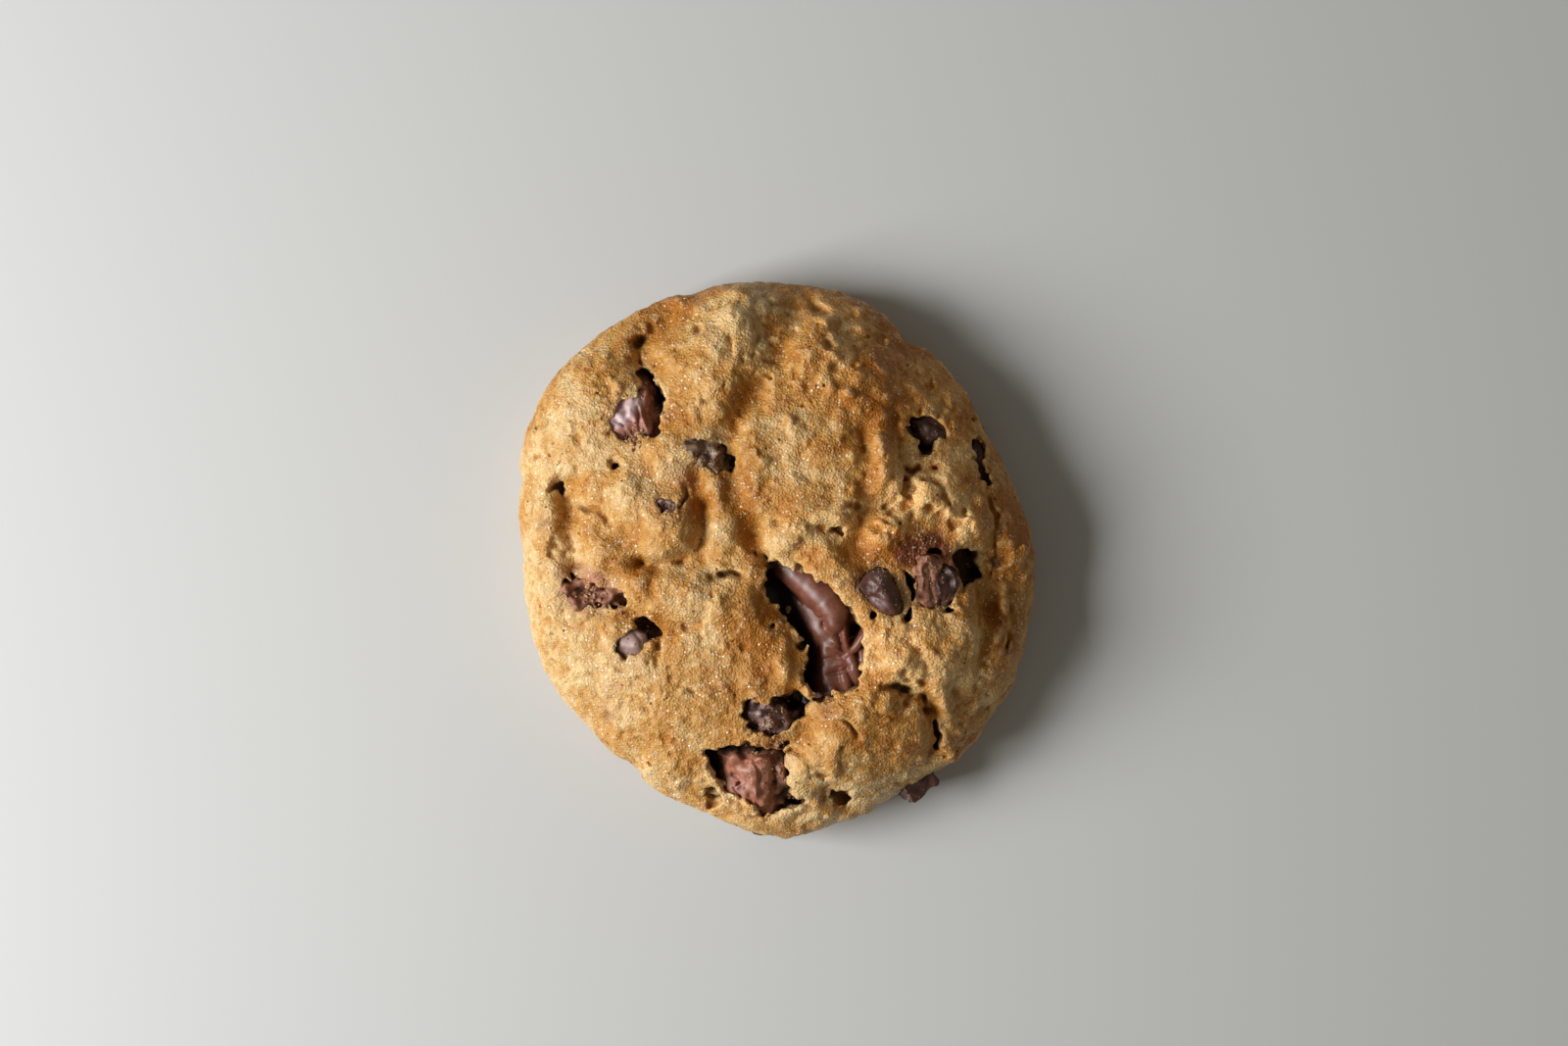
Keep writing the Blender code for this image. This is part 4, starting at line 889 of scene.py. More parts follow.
# Where the crust has torn: (x, y, radius, strength)
TORN_PATCHES = (
    (10.5, 5.5, 2.2, 0.7), (14.0, 8.5, 2.8, 0.9), (18.5, 9.5, 3.0, 1.0), (23.0, 11.0, 3.2, 1.0),
    (25.0, 15.0, 2.2, 0.8), (29.0, 9.0, 3.0, 0.7), (31.0, 4.0, 2.5, 0.6), (16.5, 5.5, 2.2, 0.8),
    (14.5, -14.0, 1.6, 0.7), (15.0, -18.5, 1.6, 0.6), (21.0, -19.5, 3.0, 0.6), (25.0, -26.0, 3.0, 0.7),
    (27.5, -31.0, 2.5, 0.6), (2.5, -32.5, 1.6, 0.6), (10.0, -37.0, 2.8, 0.9), (-10.0, -38.0, 2.4, 0.7),
    (-33.6, 2.0, 2.2, 0.9), (-33.5, 6.0, 2.0, 0.8), (-30.0, 8.0, 1.8, 0.5), (-26.0, -8.0, 1.8, 0.6),
    (-18.5, -13.0, 1.8, 0.7), (-13.0, -12.0, 3.5, 0.5), (-8.5, -2.2, 2.4, 0.7), (-5.0, 3.0, 1.8, 0.5),
    (-21.5, 37.0, 2.2, 0.6), (-12.5, 36.0, 2.2, 0.4), (0.0, 29.0, 2.2, 0.5), (7.5, 40.0, 2.0, 0.5),
    (-1.0, -20.0, 2.0, 0.4), (35.5, -12.0, 3.0, 0.5), (34.0, -20.0, 3.0, 0.5), (-18.0, 19.5, 1.6, 0.5),
)

# Where the crust is rougher or smoother
ROUGH_PATCHES = (
    (-12, -12, 13, 0.55), (14, -28, 11, -0.40), (6, 26, 12, -0.25), (-30, 22, 8, -0.30), (24, 10, 9, 0.15),
)

# Patches of colour on the dough: (x, y, radius, strength). The brown ones are partly browner crust and partly painted
# shade.
BROWN_AND_SHADE_PATCHES = (
    (6, 24, 14, 0.35), (-14, 23.5, 3.0, 0.5), (20, 30, 10, 0.35), (16, -26, 8, 0.30), (30, -12, 5, 0.25),
    (-17, 5, 3, 0.20), (-9, -18.5, 2.2, 0.5), (-1, -11, 3, 0.45), (19, 2.5, 2.5, 0.6), (-26, 32, 4, 0.40),
    (-20, 38, 5, 0.5), (8, 6, 3.5, 0.3), (12, 10, 6, 0.25), (-3, -8, 4, 0.4), (-4, 3, 3, 0.4),
    (-34, 3, 3, 0.4), (30, 30, 8, 0.3), (38, 5, 6, 0.3), (-2, -17, 5, 0.5), (-18, -8, 7, 0.3),
    (-6, 0, 4, 0.4), (24, 4, 4, 0.5), (-12, 8, 2.5, 0.5), (4, -23, 3, 0.4), (-7, -21, 5, 0.3),
    (-3, 1, 3, 0.4), (-13, 11, 3, 0.4), (8, 25, 4, 0.3), (-2, -12, 4, 0.4), (36, 0, 4, 0.3), (-19, -10, 3, 0.3),
    (-5.5, 24, 3, 0.5), (1.5, -20, 2, 0.4), (19.0, 4.2, 1.8, 0.7), (37, 0, 4, 0.4), (36, -12, 5, 0.3),
    (-10, 10, 3, 0.3), (16, 10, 4, 0.4), (17, 19, 3, 0.4), (29.5, -6, 2.5, 0.9), (-19, -11.5, 2.5, 0.5),
    (-1, -29, 2.5, 0.5), (-26, -8, 2, 0.3), (-25, 7, 6, 0.3), (-22, -3, 5, 0.25), (-31, 4, 5, 0.35), (-34, -1, 2.5, 0.4), (1, 38, 3, 0.3),
)
# Paler patches: partly paler crust, partly painted light.
PALE_AND_LIT_PATCHES = (
    (-22, -22, 14, 0.35), (-39, 0, 5, 0.5), (-38, -12, 6, 0.4), (16, 9, 7, 0.4), (24, 12, 5, 0.5),
    (-32, 26, 6, 0.35), (-23, 9, 4, 0.35), (-30, 0, 3, 0.5), (17, -14, 4, 0.35), (0, 18, 4, 0.3),
    (30, 8, 5, 0.4), (-13, -12, 9, 0.4), (2.5, -33, 2.0, 0.6), (-34, 2, 3, 0.3), (-24, 13, 5, 0.35),
    (11, -7, 3, 0.4), (14, -14, 2.5, 0.3), (-20, -36, 5, 0.2), (25, 17, 3, 0.3), (8, -38, 3, 0.4),
    (-9, -32, 3, 0.2), (0, 1.5, 3, 0.4), (33, -12, 3, 0.3), (-8, -41, 8, 0.5), (8, 38, 6, 0.3),
    (14, -22, 4, 0.4), (-5, 38, 4, 0.3), (-36, 24, 5, 0.4), (24, -13, 8, 0.5), (29, 9, 5, 0.3),
    (4, -43, 9, 0.4), (-39, 12, 8, 0.4), (12, -30, 6, 0.3), (8, 36, 6, 0.3), (-12, 30, 5, 0.2),
    (-5, 39, 5, 0.4), (-2, 16, 3, 0.3), (-22, 27, 4, 0.3), (20, 18, 4, 0.4), (14, 34, 5, 0.4), (30, -17, 5, 0.4),
    (7, 5, 4, 0.3), (20, -38, 6, 0.4), (-4, -43, 9, 0.4), (25, -14, 9, 0.3), (27, 24, 9, 0.4), (27, 10, 6, 0.2),
    (7, 5, 5, 0.45), (30, 3, 3, 0.4), (22, -38, 6, 0.4), (-6, 38, 4, 0.4), (22, 17, 2.5, 0.4),
    (-33, -10, 6, 0.5), (-8, 33, 4, 0.3), (-9, 6, 2, 0.3), (-30, -18, 7, 0.3),
)
RED_PATCHES = (
    (22.8, 2.2, 2.3, 2.0), (20.4, 1.0, 1.6, 1.8), (26.0, 1.2, 1.6, 1.8), (24.2, 4.0, 1.5, 1.5), (28.6, -1.0, 1.6, 1.6),
    (12, -3, 1.2, 0.8), (-9, -18.5, 1.8, 0.5), (-27, -24.5, 1.0, 0.5),
    (-26, -19.5, 1.2, 0.35), (-37.5, 6, 1.1, 0.6), (-30, -4.8, 3.4, 0.55), (7.5, -22.6, 1.6, 0.6),
    (-15, 13.5, 2.0, 0.35), (-1, -29.3, 2.2, 0.5), (0.5, 25, 1.5, 0.4), (20.8, -10.3, 0.9, 0.6),
    (-31.6, -1.8, 1.4, 0.4), (-27.5, -2.8, 1.6, 0.3), (-29, 5, 1.5, 0.3), (-33.6, -4.6, 1.4, 0.6),
    (28.4, -0.2, 1.4, 1.0), (-34.4, -1.2, 1.4, 0.35), (-33.4, -3.8, 1.2, 0.5),
)
# Where melted chocolate has tinted the dough pink
PINK_PATCHES = (
    (-30.2, -1.9, 1.3, 1.0), (-28.4, -2.9, 1.2, 1.0), (-26.4, -3.6, 1.0, 0.7), (-15.0, 13.9, 1.7, 1.0), (-18.8, 8.6, 1.4, 0.3),
    (1.2, -32.0, 0.8, 0.8), (-3.4, 30.2, 1.0, 0.3), (-8.6, -18.0, 1.6, 0.4), (12.4, -3.6, 1.0, 0.5),
    (-26.0, -23.5, 0.9, 0.5), (-24.6, -19.0, 1.0, 0.4), (22.6, 5.4, 1.0, 0.3),
)
# Where the crust is tinted more golden: painted warm light, on the side that the key light grazes
PAINTED_WARM_LIGHT_PATCHES = (
    (20, -13, 12, 0.7), (24, 8, 10, 0.7), (25, 24, 10, 0.7), (9, 3, 8, 0.4), (12, 36, 8, 0.4),
)
# Lilac grey on the chocolate: partly a grey bloom, partly a painted sheen on facets that face the light
BLOOM_AND_SHEEN_PATCHES = (
    (-25.0, 22.3, 1.1, 1.0), (-24.0, 23.7, 1.2, 1.1), (-22.9, 25.0, 1.1, 1.1), (-22.2, 26.1, 0.9, 0.8),
    (-22.9, -12.3, 1.5, 0.45), (16.0, -2.4, 1.0, 0.35), (16.4, -6.6, 0.7, 0.35), (27.0, -1.6, 0.7, 0.4),
    (27.6, -3.6, 0.6, 0.3), (23.6, 20.8, 0.7, 0.5), (24.8, 19.8, 0.6, 0.5), (-2.4, -23.8, 1.2, 0.4),
    (-6.0, -36.0, 1.4, 0.25), (-11.0, 16.8, 1.2, 0.25),
)


def patch_sum(x, y, patches):
    total = np.zeros(np.shape(x), np.float32)
    for cx, cy, radius, strength in patches:
        total += strength * np.exp(-((x - cx) ** 2 + (y - cy) ** 2) / radius ** 2)
    return total


def flat_of(grid):
    """The grid with two layers, for values that are the same all the way up."""
    flat = Grid.__new__(Grid)
    flat.step, flat.low, flat.shape = grid.step, grid.low, (*grid.shape[:2], 2)
    return flat


def paint_dough(mesh, grid, smooth, near):
    """Attributes that the dough's material mixes its colours by."""
    points = points_of(mesh)
    x, y, z = points.T
    depth = sampled(smooth, grid, points)
    out = curvature(mesh)
    wide = sampled(noise(grid.axes, 4.5, 21), grid, points)
    middling = sampled(noise(grid.axes, 2.0, 22), grid, points)
    # Browning share: real browning, with painted shade added and painted light taken away by the patches.
    brown_and_painted_light = 0.50 - 0.42 * np.clip(depth, -1.2, 0.8) + 0.22 * wide + 0.14 * middling + patch_sum(x, y, BROWN_AND_SHADE_PATCHES)
    brown_and_painted_light -= patch_sum(x, y, PALE_AND_LIT_PATCHES)
    under = 1 - smooth_step(0.3, 2.5, z)
    set_attribute(mesh, "brown_and_painted_light", np.clip(brown_and_painted_light, 0, 1.2) * (1 - under) + 0.95 * under)
    # Painted shade: dough lying well under its smooth form, down in pits and hollows, is painted dark.
    deep = smooth_step(0.9, 2.3, depth + 0.25 * middling) * smooth_step(2.0, 5.0, z)
    set_attribute(mesh, "deep", deep)
    set_attribute(mesh, "out", np.clip(out / 0.12, -1.5, 1.5))
    plan = (grid.axes[0], grid.axes[1])
    torn = open_share(*np.broadcast_arrays(grid.x[..., 0], grid.y[..., 0]), plan)
    set_attribute(mesh, "torn", sampled(torn[..., None] + 0 * grid.z[:, :, :2], flat_of(grid), points))
    stain = smooth_step(-2.2, -0.2, sampled(near, grid, points))
    set_attribute(mesh, "stain", stain)
    set_attribute(mesh, "red", np.clip(patch_sum(x, y, RED_PATCHES) * (0.7 + 0.4 * middling), 0, 1))
    set_attribute(mesh, "painted_warm_light", np.clip(patch_sum(x, y, PAINTED_WARM_LIGHT_PATCHES), 0, 1))
    set_attribute(mesh, "pink", np.clip(patch_sum(x, y, PINK_PATCHES) * (0.8 + 0.3 * middling), 0, 1))


# ---------------------------------------------------------------- materials
class Nodes:
    """Short names for building a material's nodes."""

    def __init__(self, name):
        self.material = bpy.data.materials.new(name)
        self.material.use_nodes = True
        self.tree = self.material.node_tree
        self.shader = self.tree.nodes["Principled BSDF"]
        texture = self.tree.nodes.new("ShaderNodeTexCoord")
        scale = self.tree.nodes.new("ShaderNodeVectorMath")
        scale.operation = "SCALE"
        scale.inputs["Scale"].default_value = 1 / MM
        self.link(texture.outputs["Object"], scale.inputs[0])
        self.place = scale.outputs[0]

    def link(self, out, into):
        self.tree.links.new(out, into)

    def put(self, value, socket):
        if isinstance(value, bpy.types.NodeSocket):
            self.link(value, socket)
        else:
            socket.default_value = value

    def noise(self, period, detail=2.0, rough=0.5, shift=0.0):
        node = self.tree.nodes.new("ShaderNodeTexNoise")
        node.inputs["Scale"].default_value = 1 / period
        node.inputs["Detail"].default_value = detail
        node.inputs["Roughness"].default_value = rough
        place = self.place
        if shift:
            moved = self.tree.nodes.new("ShaderNodeVectorMath")
            moved.inputs[1].default_value = (shift, 2 * shift, 3 * shift)
            self.link(place, moved.inputs[0])
            place = moved.outputs[0]
        self.link(place, node.inputs["Vector"])
        return node.outputs["Fac"]

    def cells(self, period, feature="F1"):
        node = self.tree.nodes.new("ShaderNodeTexVoronoi")
        node.feature = feature
        node.inputs["Scale"].default_value = 1 / period
        self.link(self.place, node.inputs["Vector"])
        return node

    def split(self, color):
        """The first part of a cell's random colour: a random number for each cell."""
        node = self.tree.nodes.new("ShaderNodeSeparateColor")
        self.link(color, node.inputs[0])
        return node.outputs[0]

    def attribute(self, name):
        node = self.tree.nodes.new("ShaderNodeAttribute")
        node.attribute_name = name
        return node.outputs["Fac"]

    def ramp(self, value, low, high, bottom=0.0, top=1.0, smooth=True):
        node = self.tree.nodes.new("ShaderNodeMapRange")
        node.interpolation_type = "SMOOTHSTEP" if smooth else "LINEAR"
        for socket, number in zip(node.inputs[1:5], (low, high, bottom, top)):
            socket.default_value = number
        self.put(value, node.inputs[0])
        return node.outputs[0]

    def math(self, operation, a, b=0.0):
        node = self.tree.nodes.new("ShaderNodeMath")
        node.operation = operation
        self.put(a, node.inputs[0])
        self.put(b, node.inputs[1])
        return node.outputs[0]

    def mix(self, share, a, b, blend="MIX"):
        node = self.tree.nodes.new("ShaderNodeMix")
        node.data_type = "RGBA"
        node.blend_type = blend
        self.put(share, node.inputs["Factor"])
        for socket, value in ((node.inputs[6], a), (node.inputs[7], b)):
            self.put(value if isinstance(value, bpy.types.NodeSocket) else (*value, 1.0), socket)
        return node.outputs[2]

    def bump(self, height, depth, strength=1.0, before=None):
        node = self.tree.nodes.new("ShaderNodeBump")
        node.inputs["Strength"].default_value = strength
        node.inputs["Distance"].default_value = depth * MM
        self.link(height, node.inputs["Height"])
        if before is not None:
            self.link(before, node.inputs["Normal"])
        return node.outputs["Normal"]

    def set(self, **values):
        for name, value in values.items():
            self.put(value, self.shader.inputs[name.replace("_", " ")])


def dough_material():
    n = Nodes("baked_dough_looks")
    brown_and_painted_light = n.attribute("brown_and_painted_light")
    out = n.attribute("out")
    torn = n.attribute("torn")
    grain = n.noise(1.0, 3.0, 0.6)
    fine = n.noise(0.42, 3.0, 0.6, 5.0)
    wide = n.noise(3.4, 3.0, 0.6, 9.0)
    granules = n.cells(0.44)
    granule = n.ramp(granules.outputs["Distance"], 0.0, 0.75, 1.0, 0.0)
    tone = n.split(granules.outputs["Color"])
    share = n.math("ADD", brown_and_painted_light, n.math("MULTIPLY", n.math("SUBTRACT", grain, 0.5), -0.6))
    share = n.math("ADD", share, n.math("MULTIPLY", n.math("SUBTRACT", wide, 0.5), 2.2))
    share = n.math("ADD", share, n.math("MULTIPLY", n.math("SUBTRACT", tone, 0.5), 0.34))
    share = n.math("SUBTRACT", share, n.math("MULTIPLY", torn, 0.25))
    light = n.mix(n.ramp(share, -0.20, 0.50), (0.74, 0.505, 0.235), (0.60, 0.305, 0.075))
    color = n.mix(n.ramp(share, 0.45, 1.25), light, (0.43, 0.150, 0.012))
    # Painted shade between granules: each granule is darker at its edge and a little lighter at its middle.
    color = n.mix(1.0, color, n.ramp(granule, 0.15, 0.75, 0.86, 1.06), "MULTIPLY")
    # Painted shade: creases are made darker and browner. Convex tops are made paler.
    color = n.mix(n.ramp(out, 0.0, -1.0, 0.0, 0.70), color, (0.42, 0.155, 0.012))
    color = n.mix(n.ramp(out, 0.25, 1.2, 0.0, 0.30), color, (0.82, 0.62, 0.33))
    # Painted warm light: a golden tint where the key light grazes.
    color = n.mix(n.attribute("painted_warm_light"), color, (1.22, 1.06, 0.84), "MULTIPLY")
    color = n.mix(n.math("MULTIPLY", n.attribute("pink"), 0.85), color, (0.66, 0.33, 0.20))
    color = n.mix(n.math("MULTIPLY", n.attribute("red"), 0.92), color, (0.19, 0.045, 0.018))
    stain = n.math("MULTIPLY", n.attribute("stain"), n.ramp(n.noise(1.2, 2.0, 0.5, 3.0), 0.35, 0.7))
    color = n.mix(n.math("MULTIPLY", stain, 0.45), color, (0.20, 0.070, 0.028))
    # Pores: small dents whose insides are painted dark, as shade.
    pores = n.cells(1.7)
    pore = n.math("MULTIPLY", n.ramp(pores.outputs["Distance"], 0.15, 0.08), n.ramp(wide, 0.46, 0.56))
    color = n.mix(n.math("MULTIPLY", pore, 0.85), color, (0.09, 0.028, 0.006))
    # Painted glints: scattered cream specks stand in for glints of light; the surface is also glossier there.
    glint_cells = n.cells(0.55)
    painted_glint = n.ramp(glint_cells.outputs["Distance"], 0.38, 0.20)
    painted_glint = n.math("MULTIPLY", painted_glint, n.ramp(n.split(glint_cells.outputs["Color"]), 0.62, 0.66))
    painted_glint = n.math("MULTIPLY", painted_glint, n.ramp(n.noise(2.4, 2.0, 0.5, 13.0), 0.44, 0.58))
    color = n.mix(n.math("MULTIPLY", painted_glint, 0.75), color, (0.98, 0.88, 0.70))
    # Painted shade in pits and hollows: dark brown, and near black where chocolate is near, which is partly a
    # chocolate smear.
    pit_shade_and_smear = n.mix(n.attribute("stain"), (0.11, 0.045, 0.013), (0.022, 0.008, 0.004))
    color = n.mix(n.math("MULTIPLY", n.attribute("deep"), 0.93), color, pit_shade_and_smear)
    n.set(Base_Color=color, Roughness=n.ramp(painted_glint, 0.0, 1.0, 0.46, 0.14))
    n.set(Specular_IOR_Level=n.ramp(painted_glint, 0.0, 1.0, 0.30, 1.0))
    height = n.math("ADD", n.math("MULTIPLY", grain, 0.32), n.math("MULTIPLY", fine, 0.42))
    height = n.math("ADD", height, n.math("MULTIPLY", granule, 0.36))
    height = n.math("SUBTRACT", height, n.math("MULTIPLY", pore, 0.5))
    n.set(Normal=n.bump(height, 0.44, 0.9))
    n.shader.inputs["Subsurface Weight"].default_value = 0.55
    n.shader.inputs["Subsurface Radius"].default_value = (1.0, 0.45, 0.12)
    n.shader.inputs["Subsurface Scale"].default_value = 1.0 * MM
    return n.material


def crumb_material():
    n = Nodes("crumb_looks")
    tone = n.noise(1.6, 2.0, 0.5)
    color = n.mix(n.ramp(tone, 0.35, 0.65), (0.42, 0.27, 0.16), (0.26, 0.115, 0.05))
    n.set(Base_Color=color, Normal=n.bump(n.noise(0.3, 2.0, 0.5, 4.0), 0.1))
    n.shader.inputs["Roughness"].default_value = 0.42
    n.shader.inputs["Subsurface Weight"].default_value = 0.5
    n.shader.inputs["Subsurface Radius"].default_value = (1.0, 0.45, 0.12)
    n.shader.inputs["Subsurface Scale"].default_value = 0.6 * MM
    return n.material


def chocolate_material(name, dark, light, roughness, dust=0.0, coat=0.0, grain=0.05, veil=0.0):
    n = Nodes(name)
    wide = n.noise(2.4, 2.0, 0.5)
    fine = n.noise(0.45, 3.0, 0.6, 7.0)
    color = n.mix(n.ramp(wide, 0.3, 0.7), dark, light)
    color = n.mix(1.0, color, n.ramp(fine, 0.3, 0.7, 0.85, 1.15), "MULTIPLY")
    if dust:
        specks = n.ramp(n.noise(0.5, 3.0, 0.65, 21.0), 0.60, 0.68)
        where = n.ramp(n.noise(2.2, 1.0, 0.5, 31.0), 0.42, 0.60)
        specks = n.math("MULTIPLY", n.math("MULTIPLY", specks, where), dust)
        color = n.mix(specks, color, (0.42, 0.26, 0.17))
    if veil:
        film = n.ramp(n.noise(1.6, 3.0, 0.6, 41.0), 0.62 - 0.4 * veil, 0.80 - 0.4 * veil)
        color = n.mix(n.math("MULTIPLY", film, 0.8), color, (0.30, 0.185, 0.105))
    # Lilac grey: partly bloom, partly a painted sheen.
    bloom_and_sheen = n.math("MULTIPLY", n.attribute("bloom_and_sheen"), n.ramp(n.noise(1.3, 3.0, 0.6, 51.0), 0.25, 0.60, 0.5, 1.0))
    color = n.mix(n.math("MULTIPLY", bloom_and_sheen, 0.95), color, (0.62, 0.47, 0.49))
    # Painted shade: near black where the piece lies deep in its pit.
    color = n.mix(n.math("MULTIPLY", n.attribute("deep"), 0.92), color, (0.012, 0.005, 0.003))
    n.set(Base_Color=color, Roughness=n.ramp(fine, 0.3, 0.7, roughness - 0.05, roughness + 0.08))
    n.set(Normal=n.bump(fine, grain, 0.8))
    n.shader.inputs["Coat Weight"].default_value = coat
    n.shader.inputs["Coat Roughness"].default_value = 0.36
    return n.material


MELTED = chocolate_material("melted_looks", (0.140, 0.042, 0.023), (0.190, 0.060, 0.034), 0.44,
                            coat=0.22, grain=0.006)
KISS = chocolate_material("kiss_looks", (0.062, 0.021, 0.014), (0.122, 0.044, 0.030), 0.42,
                          dust=0.7, grain=0.07)
MILK = chocolate_material("milk_looks", (0.29, 0.104, 0.058), (0.42, 0.172, 0.104), 0.44,
                          dust=0.3, grain=0.09)
SHEEN = chocolate_material("sheen_looks", (0.22, 0.078, 0.050), (0.38, 0.150, 0.105), 0.46,
                           dust=0.4, coat=0.1, grain=0.10)
FILMED = chocolate_material("filmed_looks", (0.15, 0.075, 0.056), (0.30, 0.175, 0.130), 0.5,
                            dust=0.7, grain=0.07)
DARK = chocolate_material("dark_looks", (0.055, 0.020, 0.014), (0.10, 0.038, 0.027), 0.44,
                          dust=0.9, grain=0.08)
CRUMBLY = chocolate_material("crumbly_looks", (0.19, 0.062, 0.032), (0.40, 0.180, 0.105), 0.50,
                             dust=1.0, grain=0.16)
VEILED = chocolate_material("veiled_looks", (0.045, 0.020, 0.016), (0.10, 0.048, 0.038), 0.45,
                            dust=1.0, grain=0.10, veil=0.6)
PURPLISH = chocolate_material("purplish_looks", (0.085, 0.038, 0.032), (0.20, 0.10, 0.085), 0.42,
                              dust=0.8, coat=0.1, grain=0.08, veil=0.25)
LOOKS = {
    "chip_top": VEILED, "chip_nose": PURPLISH, "chip_centre_low": PURPLISH, "chip_left_low": FILMED,
    "chunk_centre": MELTED, "chip_kiss": KISS, "chunk_bottom": MILK, "chunk_right": CRUMBLY,
    "chunk_upper_left": SHEEN, "chunk_left": CRUMBLY,
}


# ---------------------------------------------------------------- building the pieces
def build_chocolate():
    """Each piece of chocolate in place of its node. Returns their boxes in mm."""
    boxes = {}
    for name in CHOCOLATE:
        low, high = node_box(name)
        low, high = low - 3.0, high + 3.0
        size = float(np.prod(high - low))
        grid = Grid(low, high, max(0.14, (size / 9e5) ** (1 / 3)) * (1.0))
        field = chocolate_field(name, grid)
        field = field + grain_of(name) * noise(grid.axes, 0.75, 40 + len(name))
        points, faces = surface_net(field, grid)
        boxes[name] = (points.min(0), points.max(0))
        piece = mesh_of(name + "_melted", points, faces, LOOKS.get(name, DARK))
        thinned(piece, 24000)
        x, y, z = points_of(piece.data).T
        # Painted shade: chocolate lying deeper under the dome than where its painted shade starts is painted near
        # black.
        start = PITTED.get(name, {}).get("painted_shade_from", 3.0)
        depth = dome_height(x, y, PITTED.get(name, {}).get("lumpy", 1.0)) - z
        deep = smooth_step(start, start + 1.6, depth) * (name in PITTED)
        set_attribute(piece.data, "deep", deep)
        # Lilac-grey patches: partly bloom, partly a painted sheen.
        set_attribute(piece.data, "bloom_and_sheen", np.clip(patch_sum(x, y, BLOOM_AND_SHEEN_PATCHES), 0, 1))
        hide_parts(name)
        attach(piece, "root")
    return boxes


def build_dough(boxes):
    grid = Grid(GRID_LOW, GRID_HIGH, STEP)
    field, smooth, near = dough_fields(grid, boxes)
    points, faces = surface_net(field, grid)
    dough = mesh_of("dough_baked", points, faces, dough_material())
    thinned(dough, 196000)
    paint_dough(dough.data, grid, smooth, near)
    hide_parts("dough")
    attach(dough, "root")
    return dough


def crumb_form(rng):
    """One small crumb about the origin, with a radius of about 1: a knobbly ball."""
    bm = bmesh.new()
    bmesh.ops.create_icosphere(bm, subdivisions=2, radius=1.0)
    points = np.array([v.co for v in bm.verts])
    faces = np.array([[v.index for v in f.verts] for f in bm.faces])
    bm.free()
    knobs = rng.normal(size=(4, 3))
    knobs /= np.linalg.norm(knobs, axis=1)[:, None]
    swell = 0.6 + 0.8 * np.exp(5.0 * (points @ knobs.T - 1)).sum(axis=1)
    return points * (swell + rng.normal(0, 0.10, len(points)))[:, None], faces


def build_crumbs(pieces):
    """Small crumbs of dough scattered over the chocolate and round the torn places."""
    rng = np.random.default_rng(900)
    shapes = [crumb_form(rng) for _ in range(8)]
    surfaces = [BVHTree.FromPolygons([v.co for v in piece.data.vertices],
                                     [p.vertices for p in piece.data.polygons]) for piece in pieces]
    all_points, all_faces = [], []
    for cx, cy, radius, count, least, most in CRUMB_PATCHES:
        for _ in range(count):
            x, y = rng.normal((cx, cy), radius * 0.6)
            start = Vector((x * MM, y * MM, 0.05))
            hits = [found[0].z for found in (tree.ray_cast(start, Vector((0, 0, -1))) for tree in surfaces)
                    if found[0] is not None]
            if not hits:
                continue
            points, faces = shapes[rng.integers(len(shapes))]
            size = rng.uniform(least, most) / 2
            turn = np.array(Matrix.Rotation(rng.uniform(0, 6.28), 3, Vector(rng.normal(size=3))))
            stretch = rng.uniform(0.7, 1.2, 3)
            z = max(hits) / MM + 0.35 * size
            all_faces.append(faces + sum(len(p) for p in all_points))
            all_points.append((points * stretch) @ turn.T * size + (x, y, z))
    crumbs = mesh_of("crumbs", np.concatenate(all_points), np.concatenate(all_faces), crumb_material())
    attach(crumbs, "root")


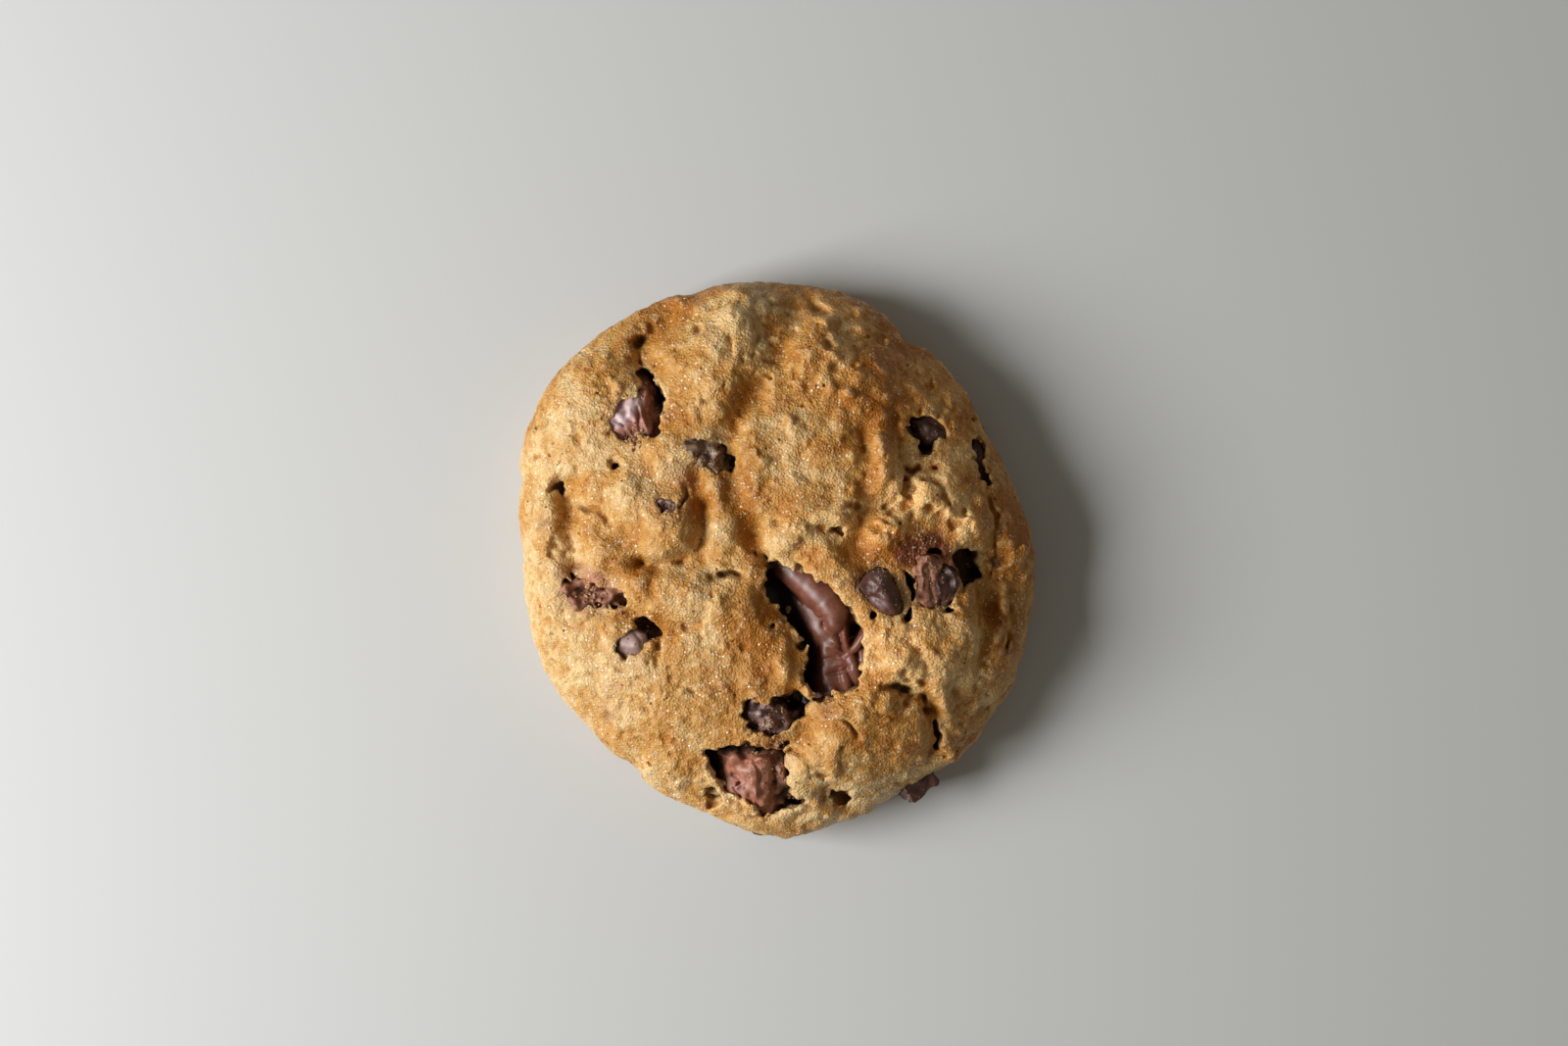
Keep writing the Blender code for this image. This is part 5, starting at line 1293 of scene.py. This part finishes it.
# Crumbs: (x, y, radius of the patch, how many, least and most size in mm)
CRUMB_PATCHES = (
    (16.0, -2.6, 1.6, 22, 0.12, 0.42), (15.0, -6.6, 1.2, 4, 0.15, 0.3), (19.4, -6.6, 1.0, 5, 0.15, 0.3),
    (24.6, -2.0, 1.8, 22, 0.12, 0.45), (25.4, -6.6, 1.6, 14, 0.12, 0.4), (29.0, -3.4, 1.8, 14, 0.1, 0.3),
    (1.7, -7.4, 0.1, 1, 1.1, 1.2), (3.5, -6.3, 0.3, 2, 0.5, 0.7), (12.0, -11.8, 0.6, 5, 0.2, 0.35),
    (12.6, -21.0, 1.8, 6, 0.15, 0.3), (-0.8, -24.4, 2.0, 44, 0.12, 0.5), (-2.6, -26.0, 1.6, 20, 0.12, 0.45),
    (0.4, -29.0, 1.4, 18, 0.2, 0.6), (-3.4, -30.6, 2.4, 16, 0.15, 0.5), (0.2, -33.0, 1.2, 16, 0.2, 0.6),
    (-1.0, -35.6, 2.0, 10, 0.12, 0.4), (2.6, -38.6, 1.6, 10, 0.15, 0.5), (-5.0, -34.5, 3.0, 8, 0.1, 0.3),
    (-22.6, 19.8, 1.6, 14, 0.2, 0.6), (-21.4, 27.6, 1.6, 8, 0.2, 0.6), (-19.0, 23.5, 1.2, 8, 0.2, 0.5),
    (-10.8, 16.4, 1.8, 50, 0.12, 0.45), (-7.8, 14.6, 1.2, 10, 0.12, 0.4), (-17.2, 8.4, 1.2, 8, 0.12, 0.35),
    (-29.5, -5.2, 2.4, 34, 0.15, 0.7), (-25.0, -6.4, 1.4, 14, 0.2, 0.6), (-22.0, -13.4, 1.6, 10, 0.1, 0.3),
    (-20.0, -10.2, 1.4, 8, 0.2, 0.4), (23.6, 20.2, 1.8, 24, 0.12, 0.45), (22.0, 17.4, 1.4, 8, 0.2, 0.5),
    (32.6, 15.8, 1.6, 8, 0.15, 0.4), (20.8, -4.6, 1.4, 8, 0.2, 0.5), (30.6, -0.4, 1.6, 10, 0.2, 0.5),
    (-22.8, 19.6, 1.5, 14, 0.3, 0.9), (23.4, 3.0, 1.8, 24, 0.2, 0.6), (-4.0, -33.5, 3.0, 14, 0.12, 0.4),
    (16.2, -2.2, 1.1, 14, 0.12, 0.32), (0.2, -34.6, 1.2, 12, 0.15, 0.5),
)

boxes = build_chocolate()
dough = build_dough(boxes)
build_crumbs([dough, *(bpy.data.objects[name + "_melted"] for name in CHOCOLATE)])


# ---------------------------------------------------------------- floor, light and camera
def build_stage():
    mesh = bpy.data.meshes.new("floor")
    side = 1.5
    mesh.from_pydata([(-side, -side, 0), (side, -side, 0), (side, side, 0), (-side, side, 0)],
                     [], [(0, 1, 2, 3)])
    floor = bpy.data.objects.new("floor", mesh)
    bpy.context.scene.collection.objects.link(floor)
    floor.location.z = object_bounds()[0][2] - 0.0002
    n = Nodes("floor_looks")
    n.set(Base_Color=(0.57, 0.57, 0.565, 1.0), Roughness=0.9)
    mesh.materials.append(n.material)


def build_light():
    world = bpy.data.worlds.new("room")
    bpy.context.scene.world = world
    world.use_nodes = True
    background = world.node_tree.nodes["Background"]
    background.inputs["Color"].default_value = (1.0, 0.95, 0.80, 1.0)
    background.inputs["Strength"].default_value = 0.15
    key = bpy.data.lights.new("key", "AREA")
    key.shape = "SQUARE"
    key.size = 0.33
    key.energy = 5.8
    key.color = (0.99, 1.0, 1.0)
    lamp = bpy.data.objects.new("key", key)
    bpy.context.scene.collection.objects.link(lamp)
    turn, tilt, away = math.radians(187), math.radians(36), 0.64
    place = Vector((math.cos(turn) * math.cos(tilt), math.sin(turn) * math.cos(tilt), math.sin(tilt)))
    aim_from(lamp, place * away, Vector((0.0, 0.0, 0.01)))


def aim_from(obj, place, target):
    obj.location = place
    obj.rotation_euler = (target - place).to_track_quat("-Z", "Y").to_euler()


def build_camera():
    camera = bpy.data.objects.new("camera", bpy.data.cameras.new("camera"))
    bpy.context.scene.collection.objects.link(camera)
    camera.data.lens = 50.0
    camera.data.sensor_width = 36.0
    camera.location = (1.12 * MM, 6.16 * MM, 0.3635)
    camera.rotation_euler = (0.0, 0.0, 0.0)
    camera.data.clip_start = 0.01
    bpy.context.scene.camera = camera


build_stage()
build_light()
build_camera()
bpy.context.scene.view_settings.view_transform = "Standard"
